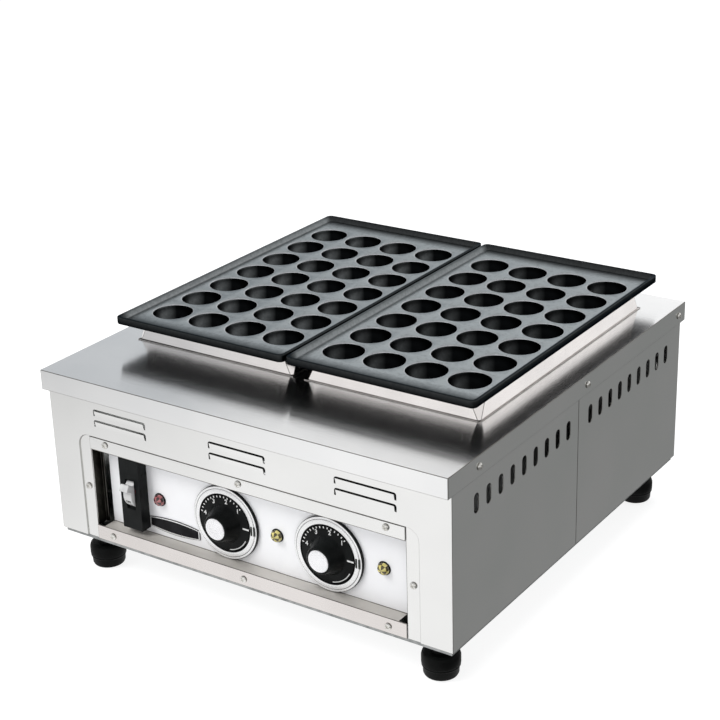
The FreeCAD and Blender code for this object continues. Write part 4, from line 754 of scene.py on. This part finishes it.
# Where a pan's painted sheen lies, grey on the plate and a painted lit crescent in each bowl: the depth that
# still counts as its top, the width of its outer wall, the share of the plate's tone on the rim, the tone
# underneath, the way to a bowl's lit wall and that wall's tone.
PLATE_SKIN, OUTER_WALL, RIM_SHARE, UNDER_TONE = 0.5, 3, 0.7, 0.01
LIT_WALL = (-0.82, -0.57)
LIT_CRESCENT_TONE = {"left": 0.24, "right": 0.12}


def cell(hole, centre_drop, sphere, sweep_steps, edge_finish):
    """One square of a pan's plate with a round bowl under its hole, centred on the origin."""
    bm = bmesh.new()
    square = bmesh.ops.create_circle(bm, cap_ends=False, radius=1, segments=CUP_SEGMENTS)["verts"]
    for vert in square:
        angle = math.atan2(vert.co.y, vert.co.x)
        quarter = round(angle / (math.pi / 2)) * math.pi / 2
        along = (angle - quarter) / (math.pi / 4)
        vert.co = Matrix.Rotation(quarter, 3, "Z") @ Vector((1, along, 0)) * mm(CUP_PITCH / 2)
    bmesh.ops.create_circle(bm, cap_ends=False, radius=mm(hole), segments=CUP_SEGMENTS)
    bmesh.ops.bridge_loops(bm, edges=bm.edges[:])
    start = math.asin(centre_drop / sphere)
    first = bm.verts.new(mm(sphere * math.cos(start), 0, -sphere * math.sin(start) + centre_drop))
    bmesh.ops.spin(
        bm, geom=[first], cent=mm(0, 0, centre_drop), axis=(0, 1, 0), angle=math.pi / 2 - start,
        steps=sweep_steps,
    )
    arc = [vert for vert in bm.verts if not vert.link_faces]
    bmesh.ops.spin(
        bm, geom=arc + [edge for edge in bm.edges if not edge.link_faces], cent=(0, 0, 0), axis=(0, 0, 1),
        angle=math.tau, steps=CUP_SEGMENTS, use_merge=True,
    )
    bmesh.ops.remove_doubles(bm, verts=bm.verts, dist=mm(PAN_WELD))
    bmesh.ops.recalc_face_normals(bm, faces=bm.faces)
    on_rim = {
        vert for vert in bm.verts
        if abs(vert.co.z) < mm(PAN_WELD) and abs(vert.co.xy.length - mm(hole)) < mm(PAN_WELD)
    }
    rim = [edge for edge in bm.edges if set(edge.verts) <= on_rim]
    ease_edges(bm, CUP_LIP, sharper=20, material=edge_finish, within=rim)
    return bm


def grid_of_cells(bm):
    """The cells of a whole pan, joined, from one cell."""
    one = bpy.data.meshes.new("cell")
    bm.to_mesh(one)
    bm.free()
    whole = repeated(one, [
        Matrix.Translation(mm((column - LAST_COLUMN / 2) * CUP_PITCH, (row - LAST_ROW / 2) * CUP_PITCH, 0))
        for column in range(COLUMNS) for row in range(ROWS)
    ])
    bpy.data.meshes.remove(one)
    bmesh.ops.remove_doubles(whole, verts=whole.verts, dist=mm(PAN_WELD))
    return whole


def widen(bm, rings):
    """Pulls the open border outwards ring by ring.

    Each ring is (in from the pan's sides, in from its ends, corner radius, height).
    """
    edges = [edge for edge in bm.edges if len(edge.link_faces) == 1]
    half = Vector((COLUMNS, ROWS)) * CUP_PITCH / 2
    across, along = bm.verts.layers.float.new("across"), bm.verts.layers.float.new("along")
    for vert in {vert for edge in edges for vert in edge.verts}:
        vert[across], vert[along] = vert.co.x / mm(half.x), vert.co.y / mm(half.y)
    for inset_x, inset_y, corner, height in rings:
        half_x, half_y = PAN_HALF_X - inset_x, PAN_HALF_Y - inset_y
        grown = bmesh.ops.extrude_edge_only(bm, edges=edges)["geom"]
        fresh = {item for item in grown if isinstance(item, bmesh.types.BMVert)}
        for vert in fresh:
            x, y = vert[across] * half_x, vert[along] * half_y
            inner = Vector((
                max(corner - half_x, min(half_x - corner, x)), max(corner - half_y, min(half_y - corner, y))
            ))
            outward = (Vector((x, y)) - inner).normalized()
            vert.co = mm(*(inner + outward * corner), height)
        edges = [edge for edge in bm.edges if len(edge.link_faces) == 1 and set(edge.verts) <= fresh]


def pan():
    """A cast pan about its own middle, with its plate's top at height 0."""
    outside = CUP_RADIUS + CUP_WALL
    under_hole = math.sqrt(outside ** 2 - PLATE_THICK ** 2)
    top = grid_of_cells(cell(CUP_RADIUS, 0, CUP_RADIUS, CUP_STEPS, 1))
    widen(top, [
        (7.9, 11.8, 2, 0), (5.5, 5.5, 2.5, 0), (3, 3, 3.5, RIM_RISE), (0, 0, PAN_CORNER, RIM_RISE),
        (0, 0, PAN_CORNER, -PLATE_THICK),
    ])
    foot = grid_of_cells(cell(under_hole, PLATE_THICK, outside, UNDER_STEPS, 0))
    widen(foot, [(0, 0, PAN_CORNER, 0)])
    whole = gathered([(top, Matrix(), None), (foot, Matrix.Translation(mm(0, 0, -PLATE_THICK)), None)])
    bmesh.ops.remove_doubles(whole, verts=whole.verts, dist=mm(PAN_WELD))
    bmesh.ops.recalc_face_normals(whole, faces=whole.faces)
    limit_x, limit_y = mm(COLUMNS * CUP_PITCH / 2 + 1), mm(ROWS * CUP_PITCH / 2 + 1)
    border = [
        edge for edge in whole.edges
        if all(abs(vert.co.x) > limit_x or abs(vert.co.y) > limit_y for vert in edge.verts)
    ]
    ease_edges(whole, PAN_EASE, steps=3, within=border)
    return whole


def from_cup(x, y):
    """How far a point is from the middle of the nearest cup, each way."""
    column = max(0, min(LAST_COLUMN, round(x / CUP_PITCH + LAST_COLUMN / 2)))
    row = max(0, min(LAST_ROW, round(y / CUP_PITCH + LAST_ROW / 2)))
    return x - (column - LAST_COLUMN / 2) * CUP_PITCH, y - (row - LAST_ROW / 2) * CUP_PITCH


def bowl_tone(across, along, sheen_level):
    """A grey crescent down the wall of a bowl, on the side that the light reaches."""
    down = LIT_WALL[0] * across + LIT_WALL[1] * along
    return sheen_level * between(down, -1, 9) * between(down, 20, 13)


def plate_tone(x, y):
    """Painted sheen: grey between the bowls, darker within some millimetres of the rim, most of all along the
    two ends.
    """
    least = 0.15 if x > 0 else 0.5
    sides = least + (1 - least) * between(PAN_HALF_X - abs(x), 6, 8 if x > 0 else 11)
    ends = 0.1 + 0.9 * between(PAN_HALF_Y - abs(y), 9 if y < 0 else 5, 25)
    return min(sides, ends)


def note_painted_sheen(bm, sheen_level):
    """Writes the painted sheen of each point of a pan, from 0 black to 1 grey: grey on the plate, painted
    shade in the bowls but for a lit crescent.
    """
    painted_sheen = bm.verts.layers.float.new("painted_sheen")
    for vert in bm.verts:
        x, y, z = vert.co * 1000
        across, along = from_cup(x, y)
        if z >= -PLATE_SKIN:
            vert[painted_sheen] = plate_tone(x, y) * (1 if z < RIM_RISE / 2 else RIM_SHARE)
        elif math.hypot(across, along, z) < CUP_RADIUS + CUP_WALL / 2 and abs(x) < PAN_HALF_X - OUTER_WALL:
            vert[painted_sheen] = bowl_tone(across, along, sheen_level)
        else:
            vert[painted_sheen] = UNDER_TONE


for side in SIDES:
    x, y, _ = middle(f"pan_{side}")
    body = pan()
    note_painted_sheen(body, LIT_CRESCENT_TONE[side])
    cast = gathered([(body, spot("Z", x, y, PLATE_TOP), None)])
    piece(f"cast_pan_{side}", cast, [pan_iron, pan_edge], f"pan_{side}_body", [f"pan_{side}"])

# ---------------------------------------------------------------- dials

# The print on the bezels and on the knobs' skirts starts at this height over the panel.
PRINT_FOOT = 4
PRINT_THICK = 0.12
# Radii where the bezel is painted black for shade: the well round the knob, a groove and the outer side.
PAINTED_SHADE_BANDS = ((0, 29.7), (34.05, 34.55), (36.5, 37.1))
FIGURES = {"1": 45, "2": 82, "3": 120, "4": 166}
FIGURE_RADIUS, FIGURE_SIZE = 22.9, 6.2
TICKS = 15
CURVE_LIFT = 0.02


def curved_line(inner, outer, first, last, steps):
    """A thin band of print round the Z axis, from one angle to another in degrees."""
    bm = bmesh.new()
    start = [bm.verts.new(mm(radius, 0, 0)) for radius in (inner, outer)]
    edge = bm.edges.new(start)
    bm.transform(Matrix.Rotation(math.radians(first), 4, "Z"))
    bmesh.ops.spin(
        bm, geom=[*start, edge], cent=(0, 0, 0), axis=(0, 0, 1), angle=math.radians(last - first),
        steps=steps,
    )
    bmesh.ops.solidify(bm, geom=bm.faces[:], thickness=mm(PRINT_THICK))
    bmesh.ops.recalc_face_normals(bm, faces=bm.faces)
    return bm


def dash(radius, length, width, degrees):
    """A printed tick that points outwards at an angle round the Z axis."""
    turned = Matrix.Rotation(math.radians(degrees), 4, "Z")
    return block(length, width, PRINT_THICK, x=radius, foot=PRINT_FOOT), turned, 0


def bezel(side, axis):
    """The fixed bright ring round a dial, with painted shade on its well, a groove and its outer side, and
    the two bars that the dial is read against.
    """
    ring = spun([
        (5.2, 0), (37, 0), (37, 2.9), (36.4, 3.5), (34.5, 3.5), (34.2, 3.2), (33.8, 4), (29.9, 4),
        (29.4, 3.5), (29.4, 1), (5.2, 1),
    ], closed=True, segments=96, ease=0.15)
    for face in ring.faces:
        radius = face.calc_center_median().xy.length * 1000
        face.material_index = 1 if any(low < radius < high for low, high in PAINTED_SHADE_BANDS) else 0
    piece(
        f"bezel_{side}", gathered([(ring, axis, None)]), [bezel_metal, black_moulding], "casing",
        [f"dial_bezel_{side}"],
    )
    bars = gathered([dash(31, 1.9, 9.5, 0), dash(34, 1.9, 9.5, 0)])
    piece(f"index_bars_{side}", gathered([(bars, axis, 0)]), [black_print], "casing")


def knob(side, axis):
    """The black knob with its wide skirt, and the bright cap in its top."""
    turned = spun([
        (3, 4.4), (9.2, 4.4), (9.2, 1.6), (28.1, 1.6), (28.5, 2), (28.5, 3.4), (27.9, 4), (20.6, 4),
        (19.4, 4.4), (18.6, 5.4), (13.4, 16.4), (12.9, 17.8), (12.2, 18.4), (10.8, 18.4), (10.8, 17.2),
        (0, 17.2), (0, 14), (3, 14),
    ], closed=True, segments=96, ease=0.12)
    piece(
        f"knob_{side}", gathered([(turned, axis, 0)]), [dial_black], f"dial_{side}_body", [f"dial_{side}"],
    )
    cap = spun([(0, 17.2), (10.8, 17.2), (10.8, 18.5), (10.3, 19), (0, 19)])
    piece(
        f"knob_cap_{side}", gathered([(cap, axis, 0)]), [cap_metal], f"dial_{side}_body",
        [f"dial_cap_{side}"],
    )


def figures(side, axis):
    """The print on a knob's skirt: a pointer, ticks, a curved white line that paints a highlight at its lower
    right, and the figures.
    """
    marks = [dash(24.6, 7, 1.6, 0)]
    turn = (FIGURES["4"] - FIGURES["1"]) / (TICKS - 1)
    marks += [dash(26.9, 1.8, 1, FIGURES["1"] + count * turn) for count in range(TICKS)]
    raised = Matrix.Translation(mm(0, 0, PRINT_FOOT + CURVE_LIFT))
    # The curved white line at the skirt's lower right is a painted highlight.
    marks.append((curved_line(26.2, 27.1, -80, -28, 20), raised, 0))
    for figure, degrees in FIGURES.items():
        angle = math.radians(degrees)
        x, y = FIGURE_RADIUS * math.cos(angle), FIGURE_RADIUS * math.sin(angle)
        place = Matrix.Translation(mm(x, y, PRINT_FOOT + PRINT_THICK / 2))
        marks.append((lettering(figure, FIGURE_SIZE, PRINT_THICK), place, 0))
    piece(
        f"dial_figures_{side}", gathered([(gathered(marks), axis, 0)]), [white_print], f"dial_{side}_body",
    )


for side in SIDES:
    axis = spot("-Y", middle(f"dial_{side}")[0], PANEL_FACE, DIAL_Z)
    bezel(side, axis)
    knob(side, axis)
    figures(side, axis)

# ---------------------------------------------------------------- switch

LEVER_PIN_Y, ROCKER_RADIUS, ROCKER_TILT = -212, 15.5, 24

dressed("switch_body", "switch_case", [black_moulding], ease=0.3)
dressed("switch_lever", "switch_handle", [white_moulding], ease=0.5)

lever_x, _, lever_z = middle("switch_lever")
case_face = reach("switch_body")[0][1]
on_mark = gathered([(block(0.9, 4.5, 0.1), spot("-Y", lever_x + 6.6, case_face, lever_z + 5), 0)])
piece("on_mark", on_mark, [red_print], "casing")

pin = Matrix.Translation(mm(lever_x, LEVER_PIN_Y, lever_z))
tilted = Matrix.Rotation(math.radians(ROCKER_TILT), 4, "X") @ Matrix(FACING["-Y"]).to_4x4()
on_rocker = pin @ tilted @ Matrix.Translation(mm(0, 0, ROCKER_RADIUS))
off_mark = gathered([(lettering("OFF", 3.6, 0.25), on_rocker, 0)])
piece("off_mark", off_mark, [black_print], "lever_body")

# ---------------------------------------------------------------- lamps

FACETS = 8
CROWN = 4.6


def lamp_holder():
    """A black cup with a low collar round the lens."""
    return spun([
        (0, -22), (5, -22), (5, 0), (6.8, 0), (6.6, 0.7), (6.1, 1.1), (5.2, 1.1), (4.8, 0.9), (4.6, 0.4),
        (0, 0.4),
    ], segments=48, ease=0.1)


def jewel():
    """A cut lens whose facets take a painted shade and a painted glint in turn, from the dark and the lit
    finish of its glass.
    """
    lens = spun([
        (0, 0.4), (4.6, 0.4), (4.6, 1.2), (5.9, 1.2), (5.7, 2.8), (4.8, 4.2), (3.4, 5.3), (1.5, 6), (0, 6),
    ], segments=2 * FACETS)
    for face in lens.faces:
        at = face.calc_center_median()
        sector = math.floor(math.atan2(at.y, at.x) / (math.tau / FACETS))
        face.material_index = (sector + (at.z > mm(CROWN))) % 2
    return lens


red_x, _, lamp_z = middle("red_lens")
(low_x, _, low_z), (high_x, _, high_z) = reach("amber_lenses")
lens_radius = (high_z - low_z) / 2
amber_xs = round(low_x + lens_radius, 1), round(high_x - lens_radius, 1)
red_axis, *amber_axes = (spot("-Y", x, PANEL_FACE, lamp_z) for x in (red_x, *amber_xs))
holders = gathered([(lamp_holder(), axis, 0) for axis in (red_axis, *amber_axes)])
piece("lamp_bezels", holders, [black_moulding], "casing", ["lamp_holders"])
red_lens = gathered([(jewel(), red_axis, None)])
piece("red_jewel", red_lens, [red_shade, red_glass], "casing", ["red_lens"], smooth=15)
amber_lenses = gathered([(jewel(), axis, None) for axis in amber_axes])
piece(
    "amber_jewels", amber_lenses, [amber_shade, amber_glass], "casing", ["amber_lenses"],
    smooth=15,
)

# ---------------------------------------------------------------- name plate

BADGE_WIDTH, BADGE_HEIGHT, BADGE_THICK = 61.2, 15.5, 1
BORDER_EDGE, BORDER, BORDER_STEP = 0.5, 1.1, 0.35
BADGE_CUTS, BADGE_BOW = 15, 0.38


def badge():
    """A bare dark plate with a thin silver border, its long edges bowed outwards in the middle."""
    plate = block(BADGE_WIDTH, BADGE_HEIGHT, BADGE_THICK)
    face = max(plate.faces, key=lambda side: side.calc_center_median().z)
    bmesh.ops.inset_individual(plate, faces=[face], thickness=mm(BORDER_EDGE), use_even_offset=True)
    bmesh.ops.inset_individual(plate, faces=[face], thickness=mm(BORDER), use_even_offset=True)
    plate.normal_update()
    reach_x = mm(BADGE_WIDTH / 2 - BORDER_EDGE / 2)
    upper = [one for one in plate.faces if one is not face and one.normal.z > SQUARE_ON]
    silver = [one for one in upper if all(abs(vert.co.x) < reach_x for vert in one.verts)]
    bmesh.ops.inset_individual(
        plate, faces=[face], thickness=mm(BORDER_STEP), depth=mm(-BORDER_STEP), use_even_offset=True
    )
    for one in plate.faces:
        one.material_index = 0 if one in silver else 1
    long_edges = [
        edge for edge in plate.edges
        if abs(edge.verts[0].co.x - edge.verts[1].co.x) > mm(BADGE_WIDTH / 2)
    ]
    bmesh.ops.subdivide_edges(plate, edges=long_edges, cuts=BADGE_CUTS, use_grid_fill=True)
    for vert in plate.verts:
        vert.co.y *= 1 - BADGE_BOW * (vert.co.x / mm(BADGE_WIDTH / 2)) ** 2
    ease_edges(plate, 0.15, sharper=60, material=1)
    return plate


badge_x, _, badge_z = middle("name_plate")
piece(
    "blank_plate", gathered([(badge(), spot("-Y", badge_x, PANEL_FACE, badge_z), None)]),
    [bezel_metal, plate_dark], "casing", ["name_plate"],
)

# ---------------------------------------------------------------- the solids that stay

kept_solids = (
    (zinc_sheet, ["base_tray", "heater_shroud", "element_supports_left", "element_supports_right"]),
    (bezel_metal, ["reflector_left", "reflector_right"]),
    (screw_steel, [
        "foot_bolts", "foot_nuts", "lamp_clips", "bush_nuts", "terminal_screws", "earth_terminal",
    ]),
    (heater_sheath, ["heater_element_left", "heater_element_right"]),
    (lead_cover, ["heater_leads_left", "heater_leads_right", "supply_leads", "switch_leads"]),
    (black_moulding, ["cable_gland", "gland_nut", "thermostat_left", "thermostat_right"]),
    (ceramic_wool, ["insulation"]),
    (porcelain, ["element_bushes", "terminal_block"]),
    (brass, [
        "thermostat_spindle_left", "thermostat_spindle_right", "temperature_sensor_left",
        "temperature_sensor_right",
    ]),
)
for material, members in kept_solids:
    for member in members:
        solid = frame["nodes"][member]
        solid.data.materials.clear()
        solid.data.materials.append(material)
